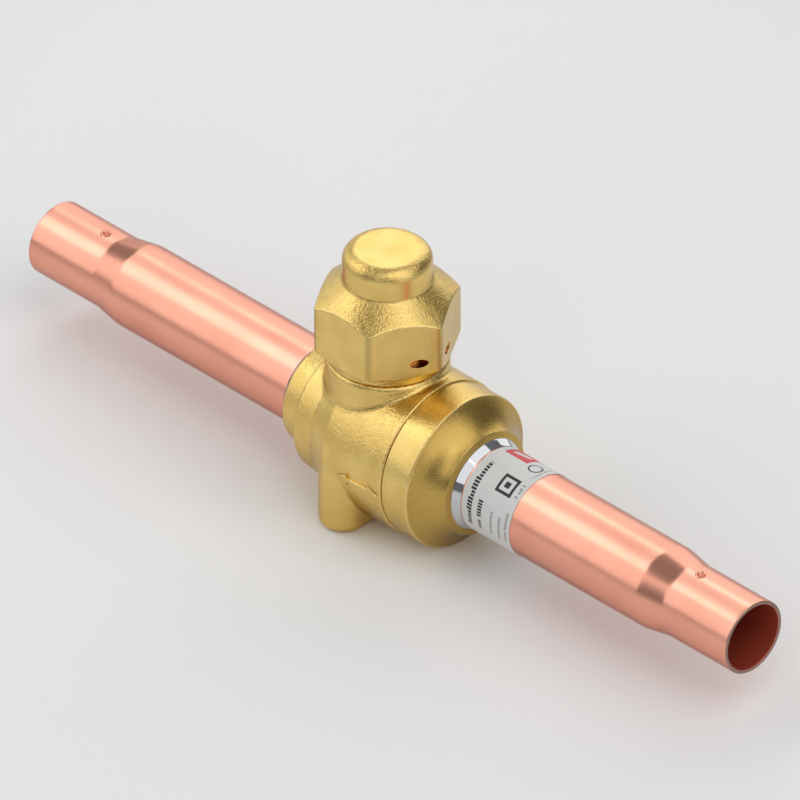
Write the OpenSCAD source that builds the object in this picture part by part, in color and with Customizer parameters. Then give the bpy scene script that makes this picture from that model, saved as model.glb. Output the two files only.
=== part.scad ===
// Refrigerant ball valve with solder-socket copper tubes, a hexagon seal cap and a mounting foot.
// Millimetres, +X towards the outlet, +Z up. The origin is midway between the two mounting
// holes, on the foot's flat face. Unless a comment says otherwise, x is counted from the
// stem's axis and z from the pipe's axis.

/* [Line tubes] */
// Outside diameter of both copper tubes
tube_od = 20.45; // [20:0.05:21]
// Wall of both copper tubes
tube_wall = 1; // [0.8:0.05:1.2]
// Bore of the solder sockets, which take the line's own tube
socket_bore = 16.05; // [15:0.05:17]
// Length of the straight solder socket at each end
socket_len = 20.4; // [18:0.2:24]
// Length of the cone between the socket and the full diameter
reducer_len = 7.1; // [5:0.1:10]
// Rounding where the cone meets the straight stretches
reducer_blend = 18; // [6:1:20]
// Distance from the stem's axis to the inlet tube's mouth
inlet_reach = 107.2; // [90:0.2:130]
// Distance from the stem's axis to the outlet tube's mouth
outlet_reach = 116.2; // [100:0.2:140]
// Depth to which the sockets are sized to their bore
socket_sized = 15; // [12:0.5:15]
// Relief of the bore behind the sized stretch
socket_relief = 0.2; // [0.16:0.01:0.3]
// Distance from a mouth to the staked dimple that stops the line's tube
stake_inset = 16.5; // [16.5:0.1:18]
// Width of the staked dimple
stake_d = 2; // [1.6:0.1:2.6]
// Depth of the staked dimple
stake_depth = 0.6; // [0.4:0.05:0.8]
// Chamfer inside each mouth
mouth_chamfer = 0.3; // [0.1:0.05:0.4]

/* [Ball and seats] */
// Diameter of the ball
ball_d = 25; // [24:0.2:28]
// Diameter of the port through the ball
port_d = 15; // [12:0.2:16]
// Depth of the drive slot in the ball's top
slot_depth = 3.5; // [2.5:0.1:3.8]
// Diameter of the hole that equalises the pressure in the chamber
equaliser_d = 1.6; // [1:0.1:2.4]
// Outside diameter of the seats
seat_od = 24; // [23.4:0.1:24.6]
// Length of a seat along the pipe, its hub included
seat_len = 5.15; // [4.6:0.05:5.6]
// Width of the shoulder round the hub at a seat's back, which holds its O-ring
seat_shoulder = 2; // [1.7:0.1:2.5]
// Cord diameter of the O-rings behind the seats
seat_seal_cord = 1.16; // [0.9:0.02:1.3]

/* [Body] */
// Clearance all round the ball in its chamber
chamber_gap = 0.8; // [0.5:0.1:1.5]
// Step from the chamber's radius out to the end nut's thread
thread_step = 2.2; // [2:0.1:3]
// Wall of the barrel round the end nut's thread
barrel_wall = 3.75; // [3:0.05:5]
// Length of thread that the end nut has in the barrel
nut_thread_len = 7.8; // [7:0.1:10]
// Depth of a seat's pocket
pocket_depth = 4.3; // [3.6:0.1:4.8]
// Wall of the shoulder round the inlet seat
shoulder_wall = 4.4; // [3:0.1:5]
// Length of the cone from the shoulder up to the barrel
shoulder_cone = 6.6; // [5:0.1:8]
// Draft of the forged shoulder
shoulder_draft = 0.4; // [0:0.1:0.8]
// Rounding of the shoulder's inlet edge
shoulder_round = 1; // [0.5:0.1:1.5]
// Wall of the collar that holds the inlet tube
collar_wall = 2.6; // [2:0.1:3.5]
// Depth of the inlet tube in its collar
collar_depth = 7; // [5:0.1:10]
// Thickness of the web between the inlet tube and the seat
web = 0.9; // [0.6:0.1:2]

/* [Flow arrow] */
// Length of the raised flow arrow
arrow_len = 12.4; // [8:0.2:14]
// Width of the arrow's heads
arrow_w = 3; // [2:0.1:5]
// Distance from the stem's axis to the arrow's middle
arrow_x = 9.6; // [8:0.1:10]
// Angle of the arrow below the horizontal
arrow_drop = 5; // [0:1:20]
// Height of the arrow above the barrel
arrow_rise = 0.5; // [0.2:0.05:0.6]

/* [Mounting foot] */
// Height of the pipe's axis above the foot's face
axis_h = 19; // [18.9:0.1:22]
// Distance between the mounting holes
foot_pitch = 28.4; // [26:0.2:32]
// Width of the foot along the pipe
foot_w = 11.34; // [9:0.1:14]
// Rounding of the foot's lower edge
foot_round = 2.2; // [0.5:0.1:3]
// Tapping diameter of the mounting holes
foot_hole_d = 4.2; // [3.2:0.1:5]
// Depth of the mounting holes
foot_hole_depth = 8; // [5:0.5:9]

/* [End nut] */
// Step down from the barrel to the end nut
nut_inset = 0.4; // [0.2:0.05:1]
// Length of the end nut's flange
nut_flange = 7.8; // [6:0.1:10]
// Length of the cupped face in front of the flange
nut_cup = 6.45; // [5:0.05:8]
// Radius of the cupped face's hollow
nut_cup_radius = 12; // [10:0.5:30]
// Radius of the hub over the braze's foot
hub_lip = 1.45; // [1:0.05:3]
// Length of the chamfered lip at the hub's end
lip_len = 0.5; // [0.2:0.1:1]
// Depth of the outlet tube in the end nut
nut_socket_depth = 11; // [8:0.1:14]
// Cord diameter of the end nut's O-ring
nut_seal_cord = 1.6; // [1.2:0.1:2]

/* [Braze] */
// Length of the braze fillets along the tubes
braze_len = 2; // [1:0.1:3]
// Height of the braze fillets above the tubes
braze_h = 1.1; // [0.6:0.1:1.6]

/* [Spindle] */
// Diameter of the spindle
stem_d = 10; // [9:0.1:11]
// Thickness of the tongue that turns the ball
tongue_t = 4; // [3:0.1:5]
// Diameter of the collar that keeps the spindle in
stem_collar_d = 13.6; // [12.6:0.1:15]
// Height of the collar
stem_collar_h = 1.8; // [1.2:0.1:2.4]
// Thickness of the thrust washer over the collar
washer_t = 0.8; // [0.5:0.1:1.2]
// Cord diameter of the spindle's O-rings
stem_seal_cord = 1.2; // [0.9:0.05:1.5]
// Distance between the spindle's O-rings
stem_seal_pitch = 4.5; // [3.5:0.1:6]
// Height of the lower O-ring above the thrust washer
stem_seal_rise = 3.8; // [2.5:0.1:5]
// Width across the flats of the spindle's square
square_af = 7; // [6.5:0.1:7.5]
// How much smaller the square is turned over its corners than the spindle
square_turn = 0.3; // [0.2:0.1:0.6]
// Height of the square above the neck
square_rise = 10; // [7:0.1:12]
// Width of the slot in the square's top, which shows the port's direction
mark_w = 1.2; // [0.8:0.1:2]
// Depth of that slot
mark_depth = 1.5; // [0.5:0.1:3]

/* [Neck and stop] */
// Diameter of the forged boss round the stem
boss_d = 28.6; // [27:0.1:31]
// Height of the boss above the barrel
boss_rise = 1.4; // [1:0.1:3]
// Rounding of the boss's upper edge
boss_round = 1.2; // [0.5:0.1:1.5]
// Diameter of the neck's thread for the cap
neck_d = 24; // [23.6:0.1:25]
// Length of the neck above the boss
neck_len = 15.3; // [13:0.1:18]
// Wall of the neck round the recess in its top, which holds the stop plate
recess_wall = 3; // [2.5:0.1:3.4]
// Depth of the recess
recess_depth = 4; // [3.8:0.1:5]
// Thickness of the stop plate
stop_t = 1.8; // [1.2:0.1:2]
// Turn of the spindle between its two stops, in degrees
stop_travel = 90; // [80:1:95]
// Angle that the neck's fixed stop covers, in degrees
stop_span = 120; // [90:1:140]
// Thickness of the retaining ring
ring_t = 0.8; // [0.6:0.1:1]

/* [Seal cap] */
// Width across the flats of the cap's hexagon
hex_af = 30; // [29:0.1:33]
// Rounding of the hexagon's corners
hex_round = 1.5; // [0.5:0.1:2.5]
// Gap between the boss and the cap's lower face
cap_gap = 0.5; // [0.3:0.1:1]
// Height of the chamfered skirt below the hexagon's flats
skirt_h = 2.1; // [1:0.1:3]
// Slope of the skirt's chamfer across the flats, rise over run
skirt_slope = 0.43; // [0.3:0.01:0.6]
// Slope of the cone above the hexagon, rise over run
crown_slope = 0.84; // [0.6:0.02:1]
// Diameter of the knob on the cap
knob_d = 20.7; // [19.8:0.1:22]
// Rounding of the knob's upper edge
knob_round = 2.35; // [1:0.05:3]
// Hollow blend between the knob and the cone
knob_blend = 1.2; // [0.5:0.1:1.8]
// Wall of the knob round the spindle's square
knob_wall = 2.45; // [1.8:0.05:3]
// Thickness of the cap's top
cap_top_wall = 2.2; // [1.8:0.1:4]
// Thickness of the cap's gasket
gasket_t = 1.2; // [0.8:0.1:2]
// Diameter of the hole for a seal wire
wire_hole_d = 2.2; // [1.5:0.1:2.4]
// Height of the seal-wire hole above the cap's lower face
wire_hole_rise = 5.8; // [4.5:0.1:8]

/* [Label] */
// Gap between the braze and the label
label_gap = 0.4; // [0.2:0.1:5]
// Width of the label along the tube
label_w = 15.1; // [8:0.1:30]
// Thickness of the label
label_t = 0.12; // [0.08:0.02:0.2]
// Angle that the label wraps round the tube, in degrees
label_wrap = 320; // [200:5:340]

/* [Hidden] */
$fn = 96;

// Clearances: a thread or pressed fit, a running fit, a static seat and a braze gap
fit_gap = 0.05;
run_gap = 0.08;
seat_gap = 0.1;
braze_gap = 0.02;
// Clearance of the stop plate all round
stop_gap = 0.3;
// Overshoot of a cut past the face that it opens
over = 1;
// Point angle of a drill, in degrees
drill_angle = 118;
// Small chamfer on turned edges, depth of a thread and length of its run-out
edge = 0.6;
thread_depth = 0.8;
run_out = 1.2;
// Margin of metal round the square in the stop plate, and depth of the ring's groove
plate_margin = 1.5;
ring_groove = 0.55;

tube_r = tube_od / 2;
tube_bore_r = tube_r - tube_wall;
socket_r = socket_bore / 2;
socket_out_r = socket_r + tube_wall;
relief_r = socket_r + socket_relief;
tube_seat_r = tube_r + braze_gap;

ball_r = ball_d / 2;
port_r = port_d / 2;
pocket_r = seat_od / 2 + seat_gap;
pocket_floor = ball_r + chamber_gap;
chamber_half = pocket_floor - pocket_depth;
chamber_r = ball_r + chamber_gap;
passage_r = port_r + 5 * seat_gap;
seat_bore_r = port_r + seat_gap;
seat_hub_r = seat_od / 2 - seat_shoulder;
slot_floor = ball_r - slot_depth;

nut_thread_r = chamber_r + thread_step;
barrel_r = nut_thread_r + fit_gap + barrel_wall;
barrel_end = chamber_half + nut_thread_len;
shoulder_r = pocket_r + shoulder_wall;
shoulder_x = -(pocket_floor + web + seat_gap);
shoulder_cone_x = -(chamber_half - run_gap * 10);
inlet_seat_x = -(pocket_floor + web);
collar_r = tube_seat_r + collar_wall;
collar_x = inlet_seat_x - collar_depth;

nut_r = barrel_r - nut_inset;
nut_flange_x = barrel_end + nut_flange;
hub_x = nut_flange_x + nut_cup;
lip_x = hub_x + lip_len;
lip_r = tube_seat_r + braze_h;
hub_r = lip_r + hub_lip;
nut_socket_x = lip_x - nut_socket_depth;
nut_seal_groove_r = nut_thread_r + fit_gap - nut_seal_cord - fit_gap;
nut_seal_x = barrel_end - nut_seal_cord * 1.7;
nut_groove_half = nut_seal_cord * 0.6;

stem_r = stem_d / 2;
stem_bore_r = stem_r + fit_gap;
collar_z = ball_r + seat_gap;
washer_z = collar_z + stem_collar_h;
collar_top_z = washer_z + washer_t;
counterbore_r = stem_collar_d / 2 + seat_gap * 2;
stem_seal_z = collar_top_z + stem_seal_rise;
boss_z = barrel_r + boss_rise;
neck_z = boss_z + neck_len;
recess_z = neck_z - recess_depth;
recess_r = neck_d / 2 - recess_wall;
stop_z = recess_z + stop_gap;
ring_z = stop_z + stop_t + fit_gap;
corners_r = (stem_d - square_turn) / 2;
ring_groove_r = corners_r - ring_groove;
plate_r = corners_r + plate_margin;
stop_inner_r = plate_r + stop_gap;
wing_r = recess_r - stop_gap;
square_z = neck_z + square_rise;

cap_z = boss_z + cap_gap;
cap_bore_r = neck_d / 2 + run_gap;
ceiling_z = neck_z + gasket_t;
knob_ceiling_z = square_z + gasket_t;
cap_top_z = knob_ceiling_z + cap_top_wall;
hex_z = cap_z + skirt_h;
crown_z = ceiling_z + seat_gap * 4;
hex_r = hex_af / 2 / cos(30);
knob_bore_r = knob_d / 2 - knob_wall;
wire_hole_x = (cap_bore_r + hex_r) / 2;

braze_x = lip_x;
label_x = lip_x + braze_len + label_gap;

// Unit vector along v
function unit(v) = v / norm(v);

// Angle turned from a0 to a1 by the shorter way
function turn(a0, a1) = (a1 - a0 + 540) % 360 - 180;

// Arc of radius r that rounds the corner b between its neighbours a and c
function corner_arc(a, b, c, r, steps) =
    let (u = unit(a - b), v = unit(c - b), half = acos(u * v) / 2)
    let (centre = b + unit(u + v) * r / sin(half))
    let (p = b + u * r / tan(half) - centre, q = b + v * r / tan(half) - centre)
    let (from = atan2(p[1], p[0]), sweep = turn(from, atan2(q[1], q[0])))
    [for (i = [0:steps]) let (a = from + sweep * i / steps) centre + r * [cos(a), sin(a)]];

// Outline through corners given as [x, y, rounding radius]
function rounded(corners, steps = 8) =
    let (n = len(corners), p = [for (c = corners) [c[0], c[1]]])
    [for (i = [0:n - 1]) each corners[i][2] > 0
        ? corner_arc(p[(i + n - 1) % n], p[i], p[(i + 1) % n], corners[i][2], steps)
        : [p[i]]];

// Arc of radius r from p to q, bulging to the right of the way from p to q, without its ends
function arc_between(p, q, r, steps = 10) =
    let (half = norm(q - p) / 2, along = unit(q - p), left = [-along[1], along[0]])
    let (centre = (p + q) / 2 + left * sqrt(r * r - half * half))
    let (from = atan2(p[1] - centre[1], p[0] - centre[0]))
    let (sweep = turn(from, atan2(q[1] - centre[1], q[0] - centre[0])))
    [for (i = [1:steps - 1]) let (a = from + sweep * i / steps) centre + r * [cos(a), sin(a)]];

// Moves children from the pipe's axis to their height above the foot
module on_axis() {
    translate([0, 0, axis_h]) children();
}

// Solid turned about the pipe's axis from points given as [x, radius]
module pipe_turned(outline) {
    on_axis() rotate([0, 90, 0]) rotate_extrude() polygon([for (p = outline) [p[1], p[0]]]);
}

// Solid turned about the stem's axis from points given as [radius, z]
module stem_turned(outline) {
    on_axis() rotate_extrude() polygon(outline);
}

// Cylinder along the pipe's axis, from x0 to x1
module pipe_bore(r, x0, x1) {
    on_axis() translate([x0, 0, 0]) rotate([0, 90, 0]) cylinder(h = x1 - x0, r = r);
}

// Cylinder along the stem's axis, from z0 to z1
module stem_bore(r, z0, z1) {
    on_axis() translate([0, 0, z0]) cylinder(h = z1 - z0, r = r);
}

// O-ring of middle radius r, at x along the pipe or at z along the stem
module pipe_ring(r, cord, x) {
    on_axis() translate([x, 0, 0]) rotate([0, 90, 0]) rotate_extrude() translate([r, 0]) circle(d = cord);
}
module stem_ring(r, cord, z) {
    on_axis() translate([0, 0, z]) rotate_extrude() translate([r, 0]) circle(d = cord);
}

// Outside of the forged barrel with its inlet shoulder and collar
module barrel() {
    pipe_turned(rounded([
        [collar_x, 0, 0],
        [collar_x, collar_r, edge],
        [shoulder_x, collar_r, edge],
        [shoulder_x, shoulder_r, shoulder_round],
        [shoulder_cone_x, shoulder_r + shoulder_draft, 0],
        [shoulder_cone_x + shoulder_cone, barrel_r, 0],
        [barrel_end, barrel_r, nut_inset / 2],
        [barrel_end, 0, 0]]));
}

// Forged boss and the neck that carries the cap's thread
module neck() {
    stem_turned(rounded([
        [0, 0, 0],
        [boss_d / 2, 0, 0],
        [boss_d / 2, boss_z, boss_round],
        [neck_d / 2 - thread_depth, boss_z, 0],
        [neck_d / 2 - thread_depth, boss_z + run_out, 0],
        [neck_d / 2, boss_z + run_out + thread_depth, 0],
        [neck_d / 2, neck_z - edge, 0],
        [neck_d / 2 - edge, neck_z, 0],
        [0, neck_z, 0]]));
}

// One end of the foot, with its rounded lower edge, at height zero
module foot_pillar() {
    rotate_extrude() polygon(rounded([
        [0, 0, 0],
        [foot_w / 2, 0, foot_round],
        [foot_w / 2, axis_h, 0],
        [0, axis_h, 0]]));
}

// Slab with round ends under the barrel
module foot() {
    for (side = [-1, 1])
        translate([0, side * foot_pitch / 2, 0]) foot_pillar();
    translate([0, foot_pitch / 2, 0]) rotate([90, 0, 0]) linear_extrude(foot_pitch)
        polygon(rounded([
            [-foot_w / 2, 0, foot_round],
            [foot_w / 2, 0, foot_round],
            [foot_w / 2, axis_h, 0],
            [-foot_w / 2, axis_h, 0]]));
}

// Tapped hole with a drill point, upwards from height zero
module foot_hole() {
    point = foot_hole_d / 2 / tan(drill_angle / 2);
    rotate_extrude() polygon([
        [0, -over], [foot_hole_d / 2, -over], [foot_hole_d / 2, foot_hole_depth],
        [0, foot_hole_depth + point]]);
}

// Arrow with two heads, raised on the barrel's side
module flow_arrow() {
    head = arrow_w;
    shaft = arrow_w / 6;
    half = arrow_len / 2;
    intersection() {
        on_axis() rotate([arrow_drop, 0, 0]) translate([arrow_x, 1 - barrel_r, 0]) rotate([90, 0, 0])
            linear_extrude(1 + over) polygon([
                [-half, 0], [head - half, -head / 2], [head - half, -shaft], [half - head, -shaft],
                [half - head, -head / 2], [half, 0], [half - head, head / 2], [half - head, shaft],
                [head - half, shaft], [head - half, head / 2]]);
        pipe_bore(barrel_r + arrow_rise, 0, barrel_end);
    }
}

// Ring sector in the neck's recess that the stop plate runs against
module fixed_stop() {
    on_axis() translate([0, 0, recess_z - over]) rotate([0, 0, 180 - stop_span / 2])
        rotate_extrude(angle = stop_span) translate([stop_inner_r, 0])
            square([recess_r + over / 2 - stop_inner_r, stop_t + stop_gap + 2 * over]);
}

module valve_body() {
    color("goldenrod") {
        difference() {
            union() {
                barrel();
                neck();
                foot();
                flow_arrow();
            }
            translate([-barrel_r, -barrel_r, -axis_h])
                cube([2 * barrel_r, 2 * barrel_r, axis_h]);
            pipe_bore(tube_seat_r, collar_x - over, inlet_seat_x);
            pipe_bore(passage_r, collar_x, 0);
            pipe_bore(pocket_r, -pocket_floor, 0);
            pipe_bore(chamber_r, -chamber_half, chamber_half + over);
            pipe_bore(nut_thread_r + fit_gap, chamber_half, barrel_end + over);
            stem_bore(counterbore_r, 0, collar_top_z);
            stem_bore(stem_bore_r, 0, neck_z);
            stem_bore(recess_r, recess_z, neck_z + over);
            for (side = [-1, 1])
                translate([0, side * foot_pitch / 2, 0]) foot_hole();
        }
        fixed_stop();
    }
}

module end_nut() {
    flange_edge = [nut_flange_x, nut_r];
    hub_edge = [hub_x, hub_r];
    color("goldenrod") pipe_turned(concat(
        [[chamber_half + seat_gap, pocket_r], [chamber_half + seat_gap, nut_thread_r - edge],
            [chamber_half + seat_gap + edge, nut_thread_r],
            [nut_seal_x - nut_groove_half, nut_thread_r],
            [nut_seal_x - nut_groove_half, nut_seal_groove_r],
            [nut_seal_x + nut_groove_half, nut_seal_groove_r],
            [nut_seal_x + nut_groove_half, nut_thread_r],
            [barrel_end, nut_thread_r], [barrel_end, nut_r]],
        [flange_edge], arc_between(flange_edge, hub_edge, nut_cup_radius), [hub_edge],
        [[lip_x, lip_r], [lip_x, tube_seat_r], [nut_socket_x, tube_seat_r],
            [nut_socket_x, tube_bore_r], [pocket_floor, passage_r], [pocket_floor, pocket_r]]));
}

// Copper tube whose mouth is at distance reach from the stem and whose root is at distance root
module line_tube(root, reach) {
    cone_x = reach - socket_len - reducer_len;
    straight_x = reach - socket_len;
    stake_r = (stake_d * stake_d / 4 + stake_depth * stake_depth) / (2 * stake_depth);
    stake_z = socket_out_r + stake_r - stake_depth;
    color("lightsalmon") difference() {
        union() {
            pipe_turned(rounded([
                [root, tube_bore_r, 0], [root, tube_r, 0],
                [cone_x, tube_r, reducer_blend], [straight_x, socket_out_r, reducer_blend],
                [reach, socket_out_r, 0.1], [reach, socket_r + mouth_chamfer, 0],
                [reach - mouth_chamfer, socket_r, 0],
                [reach - socket_sized, socket_r, 0],
                [reach - socket_sized, relief_r, 0],
                [straight_x, relief_r, reducer_blend], [cone_x, tube_bore_r, reducer_blend]]));
            intersection() {
                on_axis() translate([reach - stake_inset, 0, stake_z]) sphere(r = stake_r + tube_wall);
                pipe_bore(socket_r + tube_wall / 2, straight_x, reach - socket_sized);
            }
        }
        on_axis() translate([reach - stake_inset, 0, stake_z]) sphere(r = stake_r);
    }
}

module inlet_tube() {
    mirror([1, 0, 0]) line_tube(-inlet_seat_x, inlet_reach);
}
module outlet_tube() {
    line_tube(nut_socket_x, outlet_reach);
}

// Braze fillet on a tube, against a face at distance x
module braze_fillet(x) {
    color("silver") pipe_turned([
        [x, tube_seat_r], [x, tube_seat_r + braze_h], [x + braze_len, tube_seat_r]]);
}
module inlet_braze() {
    mirror([1, 0, 0]) braze_fillet(-collar_x);
}
module outlet_braze() {
    braze_fillet(braze_x);
}

module ball() {
    color("silver") difference() {
        on_axis() sphere(r = ball_r);
        pipe_bore(port_r, -ball_r - over, ball_r + over);
        on_axis() translate([-tongue_t / 2 - seat_gap, -ball_r, slot_floor])
            cube([tongue_t + 2 * seat_gap, ball_d, slot_depth + over]);
        stem_bore(equaliser_d / 2, 0, ball_r);
    }
}

// Seat ring with a hub at its back and a face that fits the ball
module seat() {
    back = pocket_floor - fit_gap;
    face = back - seat_len;
    shoulder = pocket_floor - seat_seal_cord - fit_gap;
    color("white") difference() {
        pipe_turned([[face, seat_bore_r], [face, seat_od / 2], [shoulder, seat_od / 2],
            [shoulder, seat_hub_r], [back, seat_hub_r], [back, seat_bore_r]]);
        on_axis() sphere(r = ball_r + fit_gap);
    }
}
module inlet_seat() {
    mirror([1, 0, 0]) seat();
}
module outlet_seat() {
    seat();
}

// O-ring between a seat's shoulder and the floor of its pocket
module seat_seal() {
    color("dimgray") pipe_ring((seat_hub_r + pocket_r) / 2, seat_seal_cord,
        pocket_floor - seat_seal_cord / 2 - fit_gap / 2);
}
module inlet_seat_seal() {
    mirror([1, 0, 0]) seat_seal();
}
module outlet_seat_seal() {
    seat_seal();
}

module end_nut_seal() {
    color("dimgray") pipe_ring(nut_thread_r + fit_gap / 2 - nut_seal_cord / 2, nut_seal_cord, nut_seal_x);
}

// Square bar of the spindle, with turned corners
module square_bar(af, z0, z1) {
    intersection() {
        on_axis() translate([-af / 2, -af / 2, z0]) cube([af, af, z1 - z0]);
        stem_turned([[0, z0], [corners_r, z0], [corners_r, z1 - edge], [corners_r - edge, z1], [0, z1]]);
    }
}

module spindle() {
    groove_r = stem_bore_r - stem_seal_cord - fit_gap;
    groove_half = stem_seal_cord * 0.6;
    color("lightsteelblue") difference() {
        union() {
            intersection() {
                stem_bore(stem_r - fit_gap, slot_floor + seat_gap, collar_z);
                on_axis() translate([-tongue_t / 2, -stem_r, slot_floor])
                    cube([tongue_t, stem_d, slot_depth + over]);
            }
            stem_bore(stem_collar_d / 2, collar_z, washer_z);
            stem_bore(stem_r, washer_z, stop_z);
            square_bar(square_af, stop_z, square_z);
        }
        for (i = [0, 1])
            on_axis() translate([0, 0, stem_seal_z + i * stem_seal_pitch - groove_half])
                rotate_extrude() translate([groove_r, 0]) square([stem_r, 2 * groove_half]);
        on_axis() translate([0, 0, ring_z - fit_gap / 2])
            rotate_extrude() translate([ring_groove_r, 0]) square([stem_r, ring_t + fit_gap]);
        on_axis() translate([-stem_r, -mark_w / 2, square_z - mark_depth])
            cube([stem_d, mark_w, mark_depth + over]);
    }
}

module thrust_washer() {
    color("white") difference() {
        stem_bore(stem_collar_d / 2, washer_z, collar_top_z);
        stem_bore(stem_bore_r, washer_z - over, collar_top_z + over);
    }
}

// O-ring number i of the spindle, counted from below
module spindle_oring(i) {
    color("dimgray") stem_ring(stem_bore_r - fit_gap / 2 - stem_seal_cord / 2, stem_seal_cord,
        stem_seal_z + i * stem_seal_pitch);
}
module spindle_oring_lower() {
    spindle_oring(0);
}
module spindle_oring_upper() {
    spindle_oring(1);
}

module stop_plate() {
    slack = asin(stop_gap / stop_inner_r);
    wing_span = 360 - stop_span - stop_travel - 2 * slack;
    color("silver") difference() {
        union() {
            stem_bore(plate_r, stop_z, stop_z + stop_t);
            on_axis() translate([0, 0, stop_z]) rotate([0, 0, 180 - stop_span / 2 - slack - wing_span])
                rotate_extrude(angle = wing_span) square([wing_r, stop_t]);
        }
        on_axis() translate([-square_af / 2 - fit_gap / 2, -square_af / 2 - fit_gap / 2, stop_z - over])
            cube([square_af + fit_gap, square_af + fit_gap, stop_t + 2 * over]);
    }
}

// Open spring ring in the groove round the square's corners
module retaining_ring() {
    opening = 60;
    color("silver") on_axis() translate([0, 0, ring_z]) rotate([0, 0, opening / 2])
        rotate_extrude(angle = 360 - opening) translate([ring_groove_r + fit_gap / 2, 0])
            square([plate_r - stop_gap - ring_groove_r, ring_t]);
}

// Hexagon prism with rounded corners, one of them towards +X
module hexagon(z0, z1) {
    corners = [for (i = [0:5]) [hex_r * cos(60 * i), hex_r * sin(60 * i), hex_round]];
    on_axis() translate([0, 0, z0]) linear_extrude(z1 - z0) polygon(rounded(corners, steps = 5));
}

module seal_cap() {
    rim_r = hex_af / 2 - edge;
    color("gold") difference() {
        intersection() {
            hexagon(cap_z, cap_top_z);
            stem_turned(rounded([
                [0, cap_z, 0], [rim_r, cap_z, edge / 2],
                [hex_af / 2 - seat_gap, hex_z - seat_gap, 0],
                [hex_r, hex_z + (hex_r - hex_af / 2) * skirt_slope, 0],
                [hex_r, crown_z - (hex_r - hex_af / 2) * crown_slope, 0],
                [knob_d / 2, crown_z + (hex_af - knob_d) / 2 * crown_slope, knob_blend],
                [knob_d / 2, cap_top_z, knob_round], [0, cap_top_z, 0]]));
        }
        stem_bore(cap_bore_r, cap_z - over, ceiling_z);
        stem_bore(knob_bore_r, cap_z, knob_ceiling_z);
        on_axis() translate([wire_hole_x, hex_r, cap_z + wire_hole_rise]) rotate([90, 0, 0])
            cylinder(h = 2 * hex_r, d = wire_hole_d);
    }
}

module cap_gasket() {
    color("ivory") difference() {
        stem_bore(neck_d / 2 - seat_gap, neck_z, ceiling_z);
        stem_bore(recess_r + seat_gap, neck_z - over, ceiling_z + over);
    }
}

// Label round the outlet tube, open on the side away from its middle line
module label() {
    middle = 45;
    color("whitesmoke") on_axis() rotate([middle, 0, 0]) translate([label_x, 0, 0]) rotate([0, 90, 0])
        rotate([0, 0, 180 - label_wrap / 2]) rotate_extrude(angle = label_wrap)
            translate([tube_seat_r, 0]) square([label_t, label_w]);
}

valve_body();
end_nut();
inlet_tube();
outlet_tube();
inlet_braze();
outlet_braze();
ball();
inlet_seat();
outlet_seat();
inlet_seat_seal();
outlet_seat_seal();
end_nut_seal();
spindle();
thrust_washer();
spindle_oring_lower();
spindle_oring_upper();
stop_plate();
retaining_ring();
seal_cap();
cap_gasket();
label();
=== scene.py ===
"""Looks of a straight refrigerant ball valve with solder tubes, a mounting foot and a seal cap.

Sizes are in millimetres and the angles of fields in degrees. x is counted from the stem's axis and
z from the pipe's axis, and a mesh is put into the frame's metres when it is made.
"""

import logging
import math
from collections.abc import Callable, Sequence
from dataclasses import dataclass
from enum import Enum

import bpy
import numpy as np
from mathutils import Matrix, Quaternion, Vector


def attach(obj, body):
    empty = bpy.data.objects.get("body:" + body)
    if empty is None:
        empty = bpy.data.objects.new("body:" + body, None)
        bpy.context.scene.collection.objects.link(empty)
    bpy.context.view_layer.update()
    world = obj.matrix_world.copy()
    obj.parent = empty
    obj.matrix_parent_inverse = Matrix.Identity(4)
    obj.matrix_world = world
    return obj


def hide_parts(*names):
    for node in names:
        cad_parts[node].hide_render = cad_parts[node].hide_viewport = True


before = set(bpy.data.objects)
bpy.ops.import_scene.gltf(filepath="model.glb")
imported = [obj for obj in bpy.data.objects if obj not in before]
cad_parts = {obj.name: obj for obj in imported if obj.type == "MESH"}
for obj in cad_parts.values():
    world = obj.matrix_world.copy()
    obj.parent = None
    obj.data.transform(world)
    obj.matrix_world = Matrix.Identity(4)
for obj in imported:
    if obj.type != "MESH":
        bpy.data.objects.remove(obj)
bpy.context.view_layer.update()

log = logging.getLogger("valve")

MM = 0.001
AXIS_HEIGHT = 19.0
INLET_REACH = 107.2
OUTLET_REACH = 116.2
BARREL_END = 16.8
PASSAGE_R = 8.0
POCKET_R = 12.1
POCKET_X = 13.3
TUBE_SEAT_R = 10.245
TUBE_BORE_R = 9.225
CAP_THREAD_PITCH = 1.5
NOWHERE = 1000.0
ARC_STEP = 9.0
SHARP_ANGLE = 38.0
EDGE_BEND = 0.6
HALVINGS = 20
GROOVE_PEAK = 1.35


class Turning(Enum):
    """Axis that an outline is turned about."""

    PIPE = "pipe"
    STEM = "stem"


class Side(Enum):
    """End of the valve, with the sign of its x."""

    INLET = -1
    OUTLET = 1


class Rider(Enum):
    """Body of the frame that a dressed piece moves with."""

    VALVE = "valve"
    CAP = "cap"


# Shapes

Array = np.ndarray
Faces = list[list[int]]
Corner = tuple[float, float, float]


def wrapped(angle: float | Array) -> float | Array:
    """Angle brought between -pi and pi by whole turns."""
    return (angle + math.pi) % (2 * math.pi) - math.pi


def round_angles(steps: int) -> Array:
    """Angles of equal steps round an axis."""
    return np.linspace(0, 2 * np.pi, steps, endpoint=False)


def turn_between(start: Array, end: Array) -> tuple[float, float]:
    """Angle of a direction in the plane, and the shorter turn from it to another.

    Args:
        start: The direction.
        end: The other direction.

    Returns:
        Angle and turn, in radians.
    """
    first = math.atan2(start[1], start[0])
    return first, wrapped(math.atan2(end[1], end[0]) - first)


def circle_points(centre: Array, radius: float, angle: Array) -> Array:
    """Points at angles on a circle in the plane."""
    return centre + radius * np.stack([np.cos(angle), np.sin(angle)], -1)


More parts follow.
